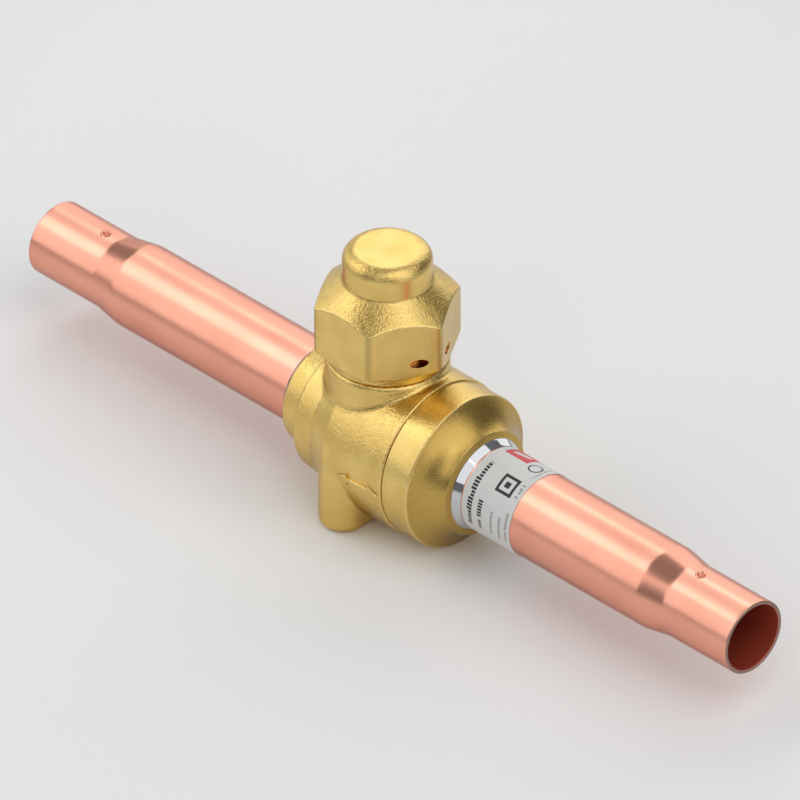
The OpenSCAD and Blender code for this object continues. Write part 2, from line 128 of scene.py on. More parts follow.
def rounded_corner(before: Array, corner: Array, after: Array, radius: float) -> Array:
    """Arc that rounds a corner: it touches both legs, and its centre lies on their bisector.

    Args:
        before: Corner before this one.
        corner: Corner that is rounded.
        after: Corner after this one.
        radius: Radius of the arc.

    Returns:
        Points of the arc, ARC_STEP degrees or less apart.
    """
    to_before = (before - corner) / np.linalg.norm(before - corner)
    to_after = (after - corner) / np.linalg.norm(after - corner)
    half = math.acos(float(np.clip(to_before @ to_after, -1, 1))) / 2
    bisector = to_before + to_after
    centre = corner + bisector / np.linalg.norm(bisector) * radius / math.sin(half)
    start = corner + to_before * radius / math.tan(half) - centre
    end = corner + to_after * radius / math.tan(half) - centre
    first, sweep = turn_between(start, end)
    count = max(3, math.ceil(abs(sweep) / math.radians(ARC_STEP)))
    return circle_points(centre, radius, first + sweep * np.linspace(0, 1, count + 1))


def subdivided(path: Array, step: float, closed: bool) -> Array:
    """Path with straight stretches longer than step cut into equal lengths.

    Args:
        path: Points of the path, one a row.
        step: Longest stretch that is left whole.
        closed: Whether the last point joins the first.

    Returns:
        Points of the finer path.
    """
    ends = np.roll(path, -1, 0) if closed else path[1:]
    starts = path if closed else path[:-1]
    counts = np.maximum(1, np.ceil(np.linalg.norm(ends - starts, axis=1) / step)).astype(int)
    which = np.repeat(np.arange(len(starts)), counts)
    share = (np.arange(len(which)) - np.repeat(np.cumsum(counts) - counts, counts)) / counts[which]
    fine = starts[which] + (ends - starts)[which] * share[:, None]
    return fine if closed else np.vstack([fine, path[-1:]])


def outline(corners: Sequence[Corner], step: float, closed: bool = False) -> Array:
    """Path through corners given as (along, across, rounding radius).

    Args:
        corners: Corners in order. An open path's ends aren't rounded.
        step: Longest straight stretch.
        closed: Whether the last corner joins the first.

    Returns:
        Points of the path, one a row.
    """
    points = np.array([c[:2] for c in corners], float)
    count = len(corners)
    parts = []
    for i, corner in enumerate(corners):
        inner = closed or 0 < i < count - 1
        if corner[2] > 0 and inner:
            parts.append(
                rounded_corner(points[i - 1], points[i], points[(i + 1) % count], corner[2])
            )
        else:
            parts.append(points[i : i + 1])
    return subdivided(np.vstack(parts), step, closed)


def turned(path: Array, axis: Turning, steps: int | Array) -> Array:
    """Grid of an outline turned about an axis: each point keeps its place along the axis, and its
    radius goes round as sine and cosine of the angle.

    Args:
        path: Outline, as rows of (along, radius) for the pipe and (radius, height) for the stem.
        axis: Axis of the turning.
        steps: Number of equal steps round, or the angles themselves.

    Returns:
        Points in a grid of outline by angle.
    """
    angle = round_angles(steps) if isinstance(steps, int) else steps
    if axis is Turning.PIPE:
        along, radius = path[:, :1], path[:, 1:]
        return np.stack([along + 0 * angle, radius * np.sin(angle), radius * np.cos(angle)], -1)
    radius, along = path[:, :1], path[:, 1:]
    return np.stack([radius * np.cos(angle), radius * np.sin(angle), along + 0 * angle], -1)


def grid_faces(grid: Array, wrap_rows: bool) -> Faces:
    """Faces of a grid whose rows are rings: a cell joins two neighbours in a ring and the same two
    in the next ring. A row whose points all coincide is a pole, and its cells become triangles.

    Args:
        grid: Points in rows and columns.
        wrap_rows: Whether the last row joins the first.

    Returns:
        Corner numbers of each face.
    """
    rows, columns = grid.shape[:2]
    number = np.arange(rows * columns).reshape(rows, columns)
    pole = np.ptp(grid, axis=1).max(-1) < 1e-9
    number[pole] = number[pole][:, :1]
    below = number if wrap_rows else number[:-1]
    above = np.roll(number, -1, 0) if wrap_rows else number[1:]
    cells = [below, np.roll(below, -1, 1), np.roll(above, -1, 1), above]
    quads = np.stack(cells, -1).reshape(-1, 4)
    low, high = quads[:, 0] == quads[:, 1], quads[:, 2] == quads[:, 3]
    whole = quads[~low & ~high].tolist()
    return whole + quads[high & ~low][:, :3].tolist() + quads[low & ~high][:, [0, 2, 3]].tolist()


def with_poles(rings: Array) -> Array:
    """Strip of rings closed by a pole at each end, at the mean of the end ring's points.

    Args:
        rings: Points in a grid, one ring a row.

    Returns:
        The grid with a pole before and after it.
    """
    count = rings.shape[1]
    first, last = (np.repeat(end.mean(1, keepdims=True), count, 1) for end in (rings[:1], rings[-1:]))
    return np.vstack([first, rings, last])


def signed_volume(points: Array, faces: Faces) -> float:
    """Six times the volume inside closed faces, positive where they face outwards: the sum of the
    triple products of each face's fan of triangles.

    Args:
        points: Points, one a row.
        faces: Corner numbers of each face.

    Returns:
        Six times the volume.
    """
    fans = np.array([f if len(f) == 4 else [*f, f[2]] for f in faces])
    a, b, c, d = (points[fans[:, k]] for k in range(4))
    return float((np.cross(a, b) * c).sum() + (np.cross(a, c) * d).sum())


def shade(mesh: bpy.types.Mesh) -> None:
    """Shades a mesh smooth between its sharp edges."""
    mesh.shade_smooth()
    mesh.set_sharp_from_angle(angle=math.radians(SHARP_ANGLE))


def mesh_piece(name: str, parts: Sequence[tuple[Array, Faces]]) -> bpy.types.Object:
    """Object at the origin whose mesh joins closed parts, each turned to face outwards.

    Args:
        name: Name of the piece.
        parts: Points in millimetres and faces of each part.

    Returns:
        The new object.
    """
    points, faces, count = [], [], 0
    for grid, cells in parts:
        flat = grid.reshape(-1, 3)
        if signed_volume(flat, cells) < 0:
            cells = [cell[::-1] for cell in cells]
        used, index = np.unique(np.concatenate(cells), return_inverse=True)
        lengths = np.array([len(cell) for cell in cells])
        starts = np.cumsum(lengths)[:-1]
        faces += [part.tolist() for part in np.split(index + count, starts)]
        points.append(flat[used])
        count += len(used)
    placed = (np.vstack(points) + [0, 0, AXIS_HEIGHT]) * MM
    mesh = bpy.data.meshes.new(name)
    mesh.from_pydata(placed.tolist(), [], faces)
    shade(mesh)
    mesh.update()
    piece = bpy.data.objects.new(name, mesh)
    bpy.context.scene.collection.objects.link(piece)
    return piece


def turned_part(
    path: Array, axis: Turning, segments: int, closed: bool = True
) -> tuple[Array, Faces]:
    """Closed solid turned from an outline: a loop gives a ring, and an open one ends in poles.

    Args:
        path: Outline, as turned() takes it.
        axis: Axis of the turning.
        segments: Number of steps round.
        closed: Whether the outline is a loop.

    Returns:
        Points and faces.
    """
    grid = turned(path, axis, segments)
    return grid, grid_faces(grid, wrap_rows=closed)


def cut_away(piece: bpy.types.Object, tools: Sequence[bpy.types.Object]) -> None:
    """Cuts solids out of a piece and removes them.

    Args:
        piece: Piece that is cut.
        tools: Closed solids that are cut away.
    """
    for tool in tools:
        cut = piece.modifiers.new("cut", "BOOLEAN")
        cut.operation, cut.solver, cut.object = "DIFFERENCE", "EXACT", tool
    evaluated = piece.evaluated_get(bpy.context.evaluated_depsgraph_get())
    mesh = bpy.data.meshes.new_from_object(evaluated)
    piece.modifiers.clear()
    piece.data = mesh
    shade(mesh)
    for tool in tools:
        bpy.data.objects.remove(tool)


def smaller(a: Array, b: Array, blend: float) -> Array:
    """Smaller of two distances, rounded over the stretch where they differ by less than blend: the
    quadratic smooth minimum.

    Args:
        a: First distance.
        b: Second distance.
        blend: Width of the blend.

    Returns:
        Blended distances.
    """
    share = np.clip(0.5 + 0.5 * (b - a) / blend, 0, 1)
    return b * (1 - share) + a * share - blend * share * (1 - share)


def rounded_edge(side: Array, end: Array, radius: float) -> Array:
    """Distance to a solid whose side and end face meet in a rounded edge, below 0 inside: the
    distance to the same solid drawn in by the radius, less the radius.

    Args:
        side: Distance to the side drawn in by the radius.
        end: Distance to the end face drawn in by the radius.
        radius: Radius of the edge.

    Returns:
        Distances.
    """
    beyond = np.hypot(np.maximum(side, 0), np.maximum(end, 0))
    return beyond + np.minimum(np.maximum(side, end), 0) - radius


def thread_groove(height: Array, turn: Array, pitch: float, slope: float) -> Array:
    """Groove of a thread: a triangle wave of height and turns, so that it is one helix. Its peak
    is GROOVE_PEAK and it is cut off at 0 and 1, which gives flat crests and roots.

    Args:
        height: Height along the thread.
        turn: Turns round it.
        pitch: Height of one turn.
        slope: Steepness of the flanks.

    Returns:
        Depths, 0 on the crest and 1 at the root.
    """
    phase = (height / pitch - turn) % 1
    return np.clip(GROOVE_PEAK - slope * np.abs(phase - 0.5), 0, 1)


def meeting(
    distance: Callable[[Array], Array], start: Array, ray: Array, low: Array, high: Array
) -> Array:
    """Length along rays at which a distance is 0: the stretch between two lengths is halved again
    and again, and its middle takes the place of the end on the same side of the surface.

    Args:
        distance: Distance to a surface for points one a row, below 0 inside.
        start: Start of each ray.
        ray: Direction of each ray.
        low: Length inside the surface.
        high: Length outside it.

    Returns:
        Lengths.
    """
    for _ in range(HALVINGS):
        middle = (low + high) / 2
        within = distance(start + ray * middle[:, None]) < 0
        low, high = np.where(within, middle, low), np.where(within, high, middle)
    return (low + high) / 2


def point_places(piece: bpy.types.Object) -> Array:
    """Reads the places of a piece's points.

    Args:
        piece: The piece.

    Returns:
        Points in millimetres, one a row, z counted from the pipe's axis.
    """
    flat = np.empty(len(piece.data.vertices) * 3, np.float32)
    piece.data.vertices.foreach_get("co", flat)
    return flat.reshape(-1, 3) / MM - [0, 0, AXIS_HEIGHT]


def write_attribute(piece: bpy.types.Object, name: str, values: Array) -> None:
    """Writes one number for each point of a piece."""
    attribute = piece.data.attributes.new(name, "FLOAT", "POINT")
    attribute.data.foreach_set("value", values.astype(np.float32))


def mark_edges(piece: bpy.types.Object) -> None:
    """Writes the attribute edge, above 0 on a ridge and below 0 in a hollow. It is the mean over a
    point's edges of the neighbour's depth under the tangent plane over the edge's length squared,
    averaged twice with the neighbours' means. It reaches 1 at EDGE_BEND.

    Args:
        piece: Piece whose points get the attribute.
    """
    mesh = piece.data
    points = point_places(piece)
    normals = np.empty(len(mesh.vertices) * 3, np.float32)
    mesh.vertex_normals.foreach_get("vector", normals)
    normals = normals.reshape(-1, 3)
    ends = np.empty(len(mesh.edges) * 2, np.int32)
    mesh.edges.foreach_get("vertices", ends)
    a, b = ends.reshape(-1, 2).T
    step = points[b] - points[a]
    square = np.maximum((step**2).sum(1), 1e-6)
    bend = np.zeros(len(points))
    count = np.zeros(len(points))
    np.add.at(bend, a, -(normals[a] * step).sum(1) / square)
    np.add.at(bend, b, (normals[b] * step).sum(1) / square)
    np.add.at(count, a, 1)
    np.add.at(count, b, 1)
    mean = bend / np.maximum(count, 1)
    for _ in range(2):
        near = np.zeros(len(points))
        np.add.at(near, a, mean[b])
        np.add.at(near, b, mean[a])
        mean = (mean + near / np.maximum(count, 1)) / 2
    write_attribute(piece, "edge", np.clip(mean / EDGE_BEND, -1, 1))


# Materials


class Wire:
    """Output socket of a node. Arithmetic on it adds Math nodes."""

    def __init__(self, shader: "Shader", socket: bpy.types.NodeSocket) -> None:
        """Wraps a socket of a shader."""
        self.shader = shader
        self.socket = socket

    def _math(self, operation: str, first: object, second: object = 0.0) -> "Wire":
        """Adds one Math node.

        Args:
            operation: Operation of the node.
            first: Wire or number for its first input.
            second: Wire or number for its second input.

        Returns:
            The node's output.
        """
        return self.shader.node(
            "ShaderNodeMath", {"operation": operation}, {0: first, 1: second}
        )

    def __add__(self, other: object) -> "Wire":
        """Sum."""
        return self._math("ADD", self, other)

    __radd__ = __add__

    def __mul__(self, other: object) -> "Wire":
        """Product."""
        return self._math("MULTIPLY", self, other)

    __rmul__ = __mul__

    def __sub__(self, other: object) -> "Wire":
        """Difference."""
        return self._math("SUBTRACT", self, other)

    def __rsub__(self, other: object) -> "Wire":
        """Reflected difference."""
        return self._math("SUBTRACT", other, self)

    def __truediv__(self, other: object) -> "Wire":
        """Quotient."""
        return self._math("DIVIDE", self, other)

    def __rtruediv__(self, other: object) -> "Wire":
        """Reflected quotient."""
        return self._math("DIVIDE", other, self)

    def __pow__(self, other: object) -> "Wire":
        """Power."""
        return self._math("POWER", self, other)

    def __gt__(self, other: object) -> "Wire":
        """1 where this is over the other, else 0."""
        return self._math("GREATER_THAN", self, other)

    def __lt__(self, other: object) -> "Wire":
        """1 where this is under the other, else 0."""
        return self._math("LESS_THAN", self, other)

    def least(self, other: object) -> "Wire":
        """Smaller of the two."""
        return self._math("MINIMUM", self, other)

    def most(self, other: object) -> "Wire":
        """Larger of the two."""
        return self._math("MAXIMUM", self, other)

    def size(self) -> "Wire":
        """Value without its sign."""
        return self._math("ABSOLUTE", self)

    def part(self) -> "Wire":
        """Part after the decimal point, from 0 to 1."""
        return self._math("FRACT", self)

    def whole(self) -> "Wire":
        """Part before the decimal point."""
        return self._math("FLOOR", self)

    def between(self, low: float, high: float) -> "Wire":
        """1 between two values, else 0."""
        return (self > low) * (self < high)

    def ease(self, low: float, high: float) -> "Wire":
        """Smooth rise from 0 at low to 1 at high."""
        return self.shader.node(
            "ShaderNodeMapRange",
            {"interpolation_type": "SMOOTHSTEP"},
            {"Value": self, "From Min": low, "From Max": high},
        )


Colour = tuple[float, float, float]
BRASS_GRAZING: Colour = (0.78, 0.79, 0.82)


def linear(red: int, green: int, blue: int) -> Colour:
    """Colour of a picture's 8-bit values, as the shaders want it: each to the power of 2.2.

    Args:
        red: Red from 0 to 255.
        green: Green from 0 to 255.
        blue: Blue from 0 to 255.

    Returns:
        Linear colour.
    """
    return tuple(round((v / 255) ** 2.2, 4) for v in (red, green, blue))


def darker(colour: Colour, share: float) -> Colour:
    """Colour with a share of its light."""
    return tuple(v * share for v in colour)


class Shader:
    """Node tree of one material, or of the world."""

    def __init__(self, tree: bpy.types.NodeTree) -> None:
        """Empties a tree."""
        self.tree = tree
        tree.nodes.clear()

    def node(
        self, kind: str, settings: dict | None = None, inputs: dict | None = None, output: object = 0
    ) -> Wire:
        """Adds a node: its settings first, then its sockets.

        Args:
            kind: Type of the node.
            settings: Properties of the node. The key stops gives a ramp its (place, colour) stops.
            inputs: Value or Wire for each input, by name or number.
            output: Name or number of the output that is wanted.

        Returns:
            That output.
        """
        made = self.tree.nodes.new(kind)
        for key, value in (settings or {}).items():
            if key == "stops":
                ramp = made.color_ramp.elements
                while len(ramp) < len(value):
                    ramp.new(0.5)
                for stop, (place, colour) in zip(ramp, value):
                    stop.position, stop.color = place, (*colour, 1)
            else:
                setattr(made, key, value)
        for key, value in (inputs or {}).items():
            socket = made.inputs[key]
            if isinstance(value, Wire):
                self.tree.links.new(value.socket, socket)
            elif isinstance(value, tuple) and socket.type == "RGBA":
                socket.default_value = (*value, 1)
            else:
                socket.default_value = value
        return Wire(self, made.outputs[output]) if len(made.outputs) else Wire(self, None)

    def place(self) -> Wire:
        """Object coordinates, in metres."""
        return self.node("ShaderNodeTexCoord", output="Object")

    def axes(self) -> tuple[Wire, Wire, Wire]:
        """The three object coordinates in millimetres, z counted from the foot's face."""
        split = self.node("ShaderNodeSeparateXYZ", inputs={0: self.place()})
        outputs = split.socket.node.outputs
        return tuple(Wire(self, outputs[k]) * (1 / MM) for k in range(3))

    def vector(self, x: object, y: object, z: object) -> Wire:
        """Vector of three values."""
        return self.node("ShaderNodeCombineXYZ", inputs={0: x, 1: y, 2: z})

    def noise(
        self, where: Wire, size: float, detail: float = 2.0, rough: float = 0.5, warp: float = 0.0
    ) -> Wire:
        """Noise from 0 to 1.

        Args:
            where: Place in metres.
            size: Size of its grains in millimetres.
            detail: Number of finer layers.
            rough: Strength of the finer layers.
            warp: Distortion.

        Returns:
            The noise.
        """
        return self.node(
            "ShaderNodeTexNoise",
            inputs={
                "Vector": where,
                "Scale": 1 / (size * MM),
                "Detail": detail,
                "Roughness": rough,
                "Distortion": warp,
            },
        )

    def dice(self, value: Wire) -> Wire:
        """Number from 0 to 1 that jumps at random when the value changes."""
        return self.node(
            "ShaderNodeTexWhiteNoise", {"noise_dimensions": "1D"}, {"W": value}, output="Value"
        )

    def stretched(self, along: float, across: float, height: float) -> Wire:
        """Object coordinates scaled on each axis, for patterns that are longer one way."""
        return self.node(
            "ShaderNodeMapping",
            inputs={"Vector": self.place(), "Scale": (along, across, height)},
        )

    def mix(self, share: object, first: object, second: object) -> Wire:
        """Colour from first to second by share."""
        return self.node(
            "ShaderNodeMix",
            {"data_type": "RGBA"},
            {0: share, 6: first, 7: second},
            output=2,
        )

    def stem_rings(self, pitch: float) -> Wire:
        """Noise in fine rings round the stem: it reads the radius and the height, not the angle.

        Args:
            pitch: Size of a ring in millimetres.

        Returns:
            The noise.
        """
        x, y, z = self.axes()
        return self.noise(self.vector(hypotenuse(x, y) * MM, 0.0, z * MM), pitch, 2.0, 0.6)

    def attribute(self, name: str) -> Wire:
        """Value of a mesh's own attribute."""
        return self.node("ShaderNodeAttribute", {"attribute_name": name}, output="Fac")

    def bump(self, height: Wire, depth: float, below: Wire | None = None) -> Wire:
        """Normal of a relief.

        Args:
            height: Height from 0 to 1.
            depth: Depth in millimetres that a height of 1 stands for.
            below: Normal of a coarser relief under it.

        Returns:
            The normal.
        """
        inputs = {"Height": height, "Distance": depth * MM}
        if below is not None:
            inputs["Normal"] = below
        return self.node("ShaderNodeBump", inputs=inputs)

    def surface(self, values: dict) -> None:
        """Ends the tree in a Principled shader with the given sockets."""
        shader = self.node("ShaderNodeBsdfPrincipled", inputs=values)
        self.node("ShaderNodeOutputMaterial", inputs={"Surface": shader})


def hypotenuse(first: Wire, second: Wire) -> Wire:
    """Length of a line with two parts at right angles."""
    return (first * first + second * second) ** 0.5


def around(mean: float, *noises: tuple[Wire, float]) -> Wire:
    """Value that varies about a mean: noises times their strengths, less half of these, because a
    noise is 0.5 on average.

    Args:
        mean: The mean.
        noises: Each noise with its strength.

    Returns:
        The value.
    """
    total, spread = noises[0][0] * noises[0][1], noises[0][1]
    for noise, strength in noises[1:]:
        total, spread = total + noise * strength, spread + strength
    return total + (mean - spread / 2)


@dataclass(frozen=True)
class Finish:
    """Procedural finish of one kind of surface."""

    name: str

    def paint(self, s: Shader) -> None:
        """Fills the material's tree."""
        raise NotImplementedError

    def build(self) -> bpy.types.Material:
        """Makes the material.

        Returns:
            The material, with the tree that paint() gives it.
        """
        material = bpy.data.materials.new(self.name)
        material.use_nodes = True
        self.paint(Shader(material.node_tree))
        return material


@dataclass(frozen=True)
class ForgedBrass(Finish):
    """Hot-forged and shot-blasted brass, with a fine grain, a painted highlight on its ridges and
    painted shade in its hollows.

    The grain is two noises of different size. Ridges are a little polished, which makes them less
    rough, and a lighter colour on them is a painted highlight. Hollows get painted shade, a darker
    colour. Both follow the mesh's attribute edge. Where a piece has faces that are cut smoother, the
    attribute grain says how much of the grain is left, and faint upright lines take its place. On
    those pieces the attribute corner puts a painted dark reflection on the rounded corners. From cup_x
    on, along the pipe, the brass gets painted shade, the darker reflection in the nut's concave cup.
    The inside of the seal-wire hole, given as x, z and radius, also gets painted shade.
    """

    colour: Colour = (0.82, 0.59, 0.20)
    shade: Colour = (0.72, 0.48, 0.14)
    # Painted highlight on the ridges: a lighter colour.
    ridge_highlight: Colour = (0.86, 0.70, 0.34)
    # Painted shade of the nut's concave cup.
    cup_shade: Colour = (0.48, 0.31, 0.075)
    # Painted shade inside the seal-wire hole.
    hole_shade: Colour = (0.70, 0.27, 0.07)
    # Painted dark reflection on the rounded corners.
    corner_dark_reflection: Colour = (0.36, 0.25, 0.07)
    grazing: Colour = BRASS_GRAZING
    grain: float = 0.38
    depth: float = 0.11
    coarser: float = 3.2
    patch_size: float = 7.0
    line_size: float = 0.3
    line_depth: float = 0.008
    roughness: float = 0.23
    cut_faces: bool = False
    cup_x: float = NOWHERE
    cup_edge: float = 0.3
    hole_margin: float = 0.02
    wire: tuple[float, float, float] = (NOWHERE, 0.0, 1.1)

    def paint(self, s: Shader) -> None:
        """Fills the material's tree.

        Args:
            s: Shader of the material.
        """
        where = s.place()
        fine = s.noise(where, self.grain, 2.0, 0.5)
        coarse = s.noise(where, self.grain * self.coarser, 1.0, 0.5)
        patch = s.noise(where, self.patch_size, 2.0, 0.5)
        edge = s.attribute("edge")
        ridge = edge.ease(0.12, 0.8)
        hollow_shade = (edge * -1).ease(0.1, 0.8)
        # Random patches of tone, and painted shade in the hollows.
        tint = s.mix(patch.ease(0.35, 0.65) * 0.6 + hollow_shade * 0.4, self.colour, self.shade)
        # Painted highlight on the ridges; their lower roughness below is the real polish.
        tint = s.mix(ridge * 0.35, tint, self.ridge_highlight)
        x, _, z = s.axes()
        # Painted shade: the nut's concave cup is darkened from cup_x on.
        tint = s.mix(x.ease(self.cup_x, self.cup_x + self.cup_edge) * 0.75, tint, self.cup_shade)
        # Painted shade inside the seal-wire hole.
        wire_x, wire_z, wire_r = self.wire
        hole = hypotenuse(x - wire_x, z - AXIS_HEIGHT - wire_z) < wire_r + self.hole_margin
        tint = s.mix(hole, tint, self.hole_shade)
        rough = around(self.roughness, (fine, 0.08), (patch, 0.05)) + hollow_shade * 0.05 - ridge * 0.05
        if self.cut_faces:
            # Painted dark reflection on the hexagon's rounded corners.
            tint = s.mix(s.attribute("corner") * 0.5, tint, self.corner_dark_reflection)
            left = s.attribute("grain")
            fine, coarse = (fine - 0.5) * left, (coarse - 0.5) * left
        relief = s.bump(coarse, self.depth * 0.6)
        if self.cut_faces:
            line = s.noise(s.stretched(1, 1, 0.03), self.line_size, 2.0, 0.5) * (1 - left)
            relief = s.bump(line, self.line_depth, relief)
        s.surface({
            "Base Color": tint,
            "Metallic": 1.0,
            "Roughness": rough,
            "Normal": s.bump(fine, self.depth, relief),
            "Specular Tint": self.grazing,
        })


@dataclass(frozen=True)
class TurnedBrass(Finish):
    """Brass turned on a lathe: fine rings round the stem."""

    colour: Colour = (0.80, 0.61, 0.25)
    shade: Colour = (0.70, 0.50, 0.18)
    grazing: Colour = BRASS_GRAZING
    pitch: float = 0.12
    patch_size: float = 5.0
    depth: float = 0.003
    roughness: float = 0.26

    def paint(self, s: Shader) -> None:
        """Fills the material's tree.

        Args:
            s: Shader of the material.
        """
        line = s.stem_rings(self.pitch)
        patch = s.noise(s.place(), self.patch_size, 2.0, 0.5)
        s.surface({
            "Base Color": s.mix(patch * 0.5 + line * 0.2, self.colour, self.shade),
            "Metallic": 1.0,
            "Roughness": around(self.roughness, (line, 0.12), (patch, 0.06)),
            "Normal": s.bump(line, self.depth),
            "Specular Tint": self.grazing,
        })


@dataclass(frozen=True)
class DrawnCopper(Finish):
    """Drawn and annealed copper tube: satin, with faint streaks along the tube, painted shade in its
    bore, which is a darker red, and dull sawn mouths."""

    colour: Colour = (0.92, 0.43, 0.31)
    shade: Colour = (0.84, 0.36, 0.25)
    # Painted shade of the bore: a deep red.
    inside: Colour = (0.50, 0.085, 0.045)
    sawn: Colour = (0.36, 0.24, 0.20)
    grazing: Colour = (0.60, 0.63, 0.65)
    roughness: float = 0.26
    inner_r: float = 8.25
    mouths: tuple[float, float] = (-INLET_REACH, OUTLET_REACH)
    mouth_depth: float = 0.1
    streak_size: float = 0.3
    streak_depth: float = 0.0012
    grain_size: float = 0.25
    grain_depth: float = 0.003
    cloud_size: float = 6.0

    def paint(self, s: Shader) -> None:
        """Fills the material's tree. The streaks are a noise that is 60 times longer along the tube.
        The bore is where the radius is under a limit, and it gets painted shade: a darker red and less
        metal. A mouth is the tube's very end.

        Args:
            s: Shader of the material.
        """
        x, y, z = s.axes()
        bore = hypotenuse(y, z - AXIS_HEIGHT) < self.inner_r
        left, right = self.mouths
        mouth = (x < left + self.mouth_depth) + (x > right - self.mouth_depth)
        streak = s.noise(s.stretched(0.016, 1, 1), self.streak_size, 2.0, 0.5)
        grain = s.noise(s.place(), self.grain_size, 2.0, 0.5)
        cloud = s.noise(s.stretched(0.4, 1, 1), self.cloud_size, 3.0, 0.5)
        tint = s.mix(cloud.ease(0.35, 0.7) * 0.5 + streak * 0.2, self.colour, self.shade)
        # Painted shade in the bore: it is a deep red, and below it is half metal.
        tint = s.mix(bore, tint, self.inside)
        rough = around(self.roughness, (streak, 0.05), (grain, 0.03), (cloud, 0.05))
        s.surface({
            "Base Color": s.mix(mouth, tint, self.sawn),
            "Metallic": 1 - bore * 0.5,
            "Roughness": rough + bore * 0.2 + mouth * 0.2,
            "Normal": s.bump(streak, self.streak_depth, s.bump(grain, self.grain_depth)),
            "Specular Tint": self.grazing,
        })


@dataclass(frozen=True)
class SilverBraze(Finish):
    """Silver brazing alloy, smooth from the flame, with slow ripples."""

    colour: Colour = (0.60, 0.61, 0.64)
    flecks: Colour = (0.40, 0.40, 0.41)
    fleck_size: float = 0.5
    ripple_size: float = 4.0
    ripple_depth: float = 0.02
    roughness: float = 0.04

    def paint(self, s: Shader) -> None:
        """Fills the material's tree.

        Args:
            s: Shader of the material.
        """
        ripple = s.noise(s.place(), self.ripple_size, 1.0, 0.5, 0.3)
        fleck = s.noise(s.place(), self.fleck_size, 2.0, 0.6)
        s.surface({
            "Base Color": s.mix(fleck.ease(0.55, 0.8) * 0.3, self.colour, self.flecks),
            "Metallic": 1.0,
            "Roughness": around(self.roughness, (fleck, 0.04)),
            "Normal": s.bump(ripple, self.ripple_depth),
        })


@dataclass(frozen=True)
class Steel(Finish):
    """Machined or plated steel, with fine lines round the stem."""

    colour: Colour = linear(190, 190, 192)
    roughness: float = 0.25
    pitch: float = 0.15
    patch_size: float = 2.5
    depth: float = 0.003

    def paint(self, s: Shader) -> None:
        """Fills the material's tree.

        Args:
            s: Shader of the material.
        """
        line = s.stem_rings(self.pitch)
        patch = s.noise(s.place(), self.patch_size, 2.0, 0.5)
        s.surface({
            "Base Color": s.mix(patch * 0.5, self.colour, darker(self.colour, 0.8)),
            "Metallic": 1.0,
            "Roughness": around(self.roughness, (line, 0.12), (patch, 0.08)),
            "Normal": s.bump(line, self.depth),
        })


@dataclass(frozen=True)
class Moulded(Finish):
    """Polymer, rubber or fibre: a fine mottled grain over an even colour."""

    colour: Colour
    roughness: float
    grain: float = 0.2
    depth: float = 0.006
    cloud_size: float = 2.0

    def paint(self, s: Shader) -> None:
        """Fills the material's tree.

        Args:
            s: Shader of the material.
        """
        grain = s.noise(s.place(), self.grain, 3.0, 0.6)
        cloud = s.noise(s.place(), self.cloud_size, 2.0, 0.5)
        s.surface({
            "Base Color": s.mix(grain * 0.3 + cloud * 0.4, self.colour, darker(self.colour, 0.75)),
            "Roughness": around(self.roughness, (grain, 0.1)),
            "Normal": s.bump(grain, self.depth),
        })


@dataclass(frozen=True)
class PrintRow:
    """Row of short upright bars in place of words: its foot and height along the tube, and its
    start and end round it, on the label's map."""

    foot: float
    height: float
    low: float
    high: float


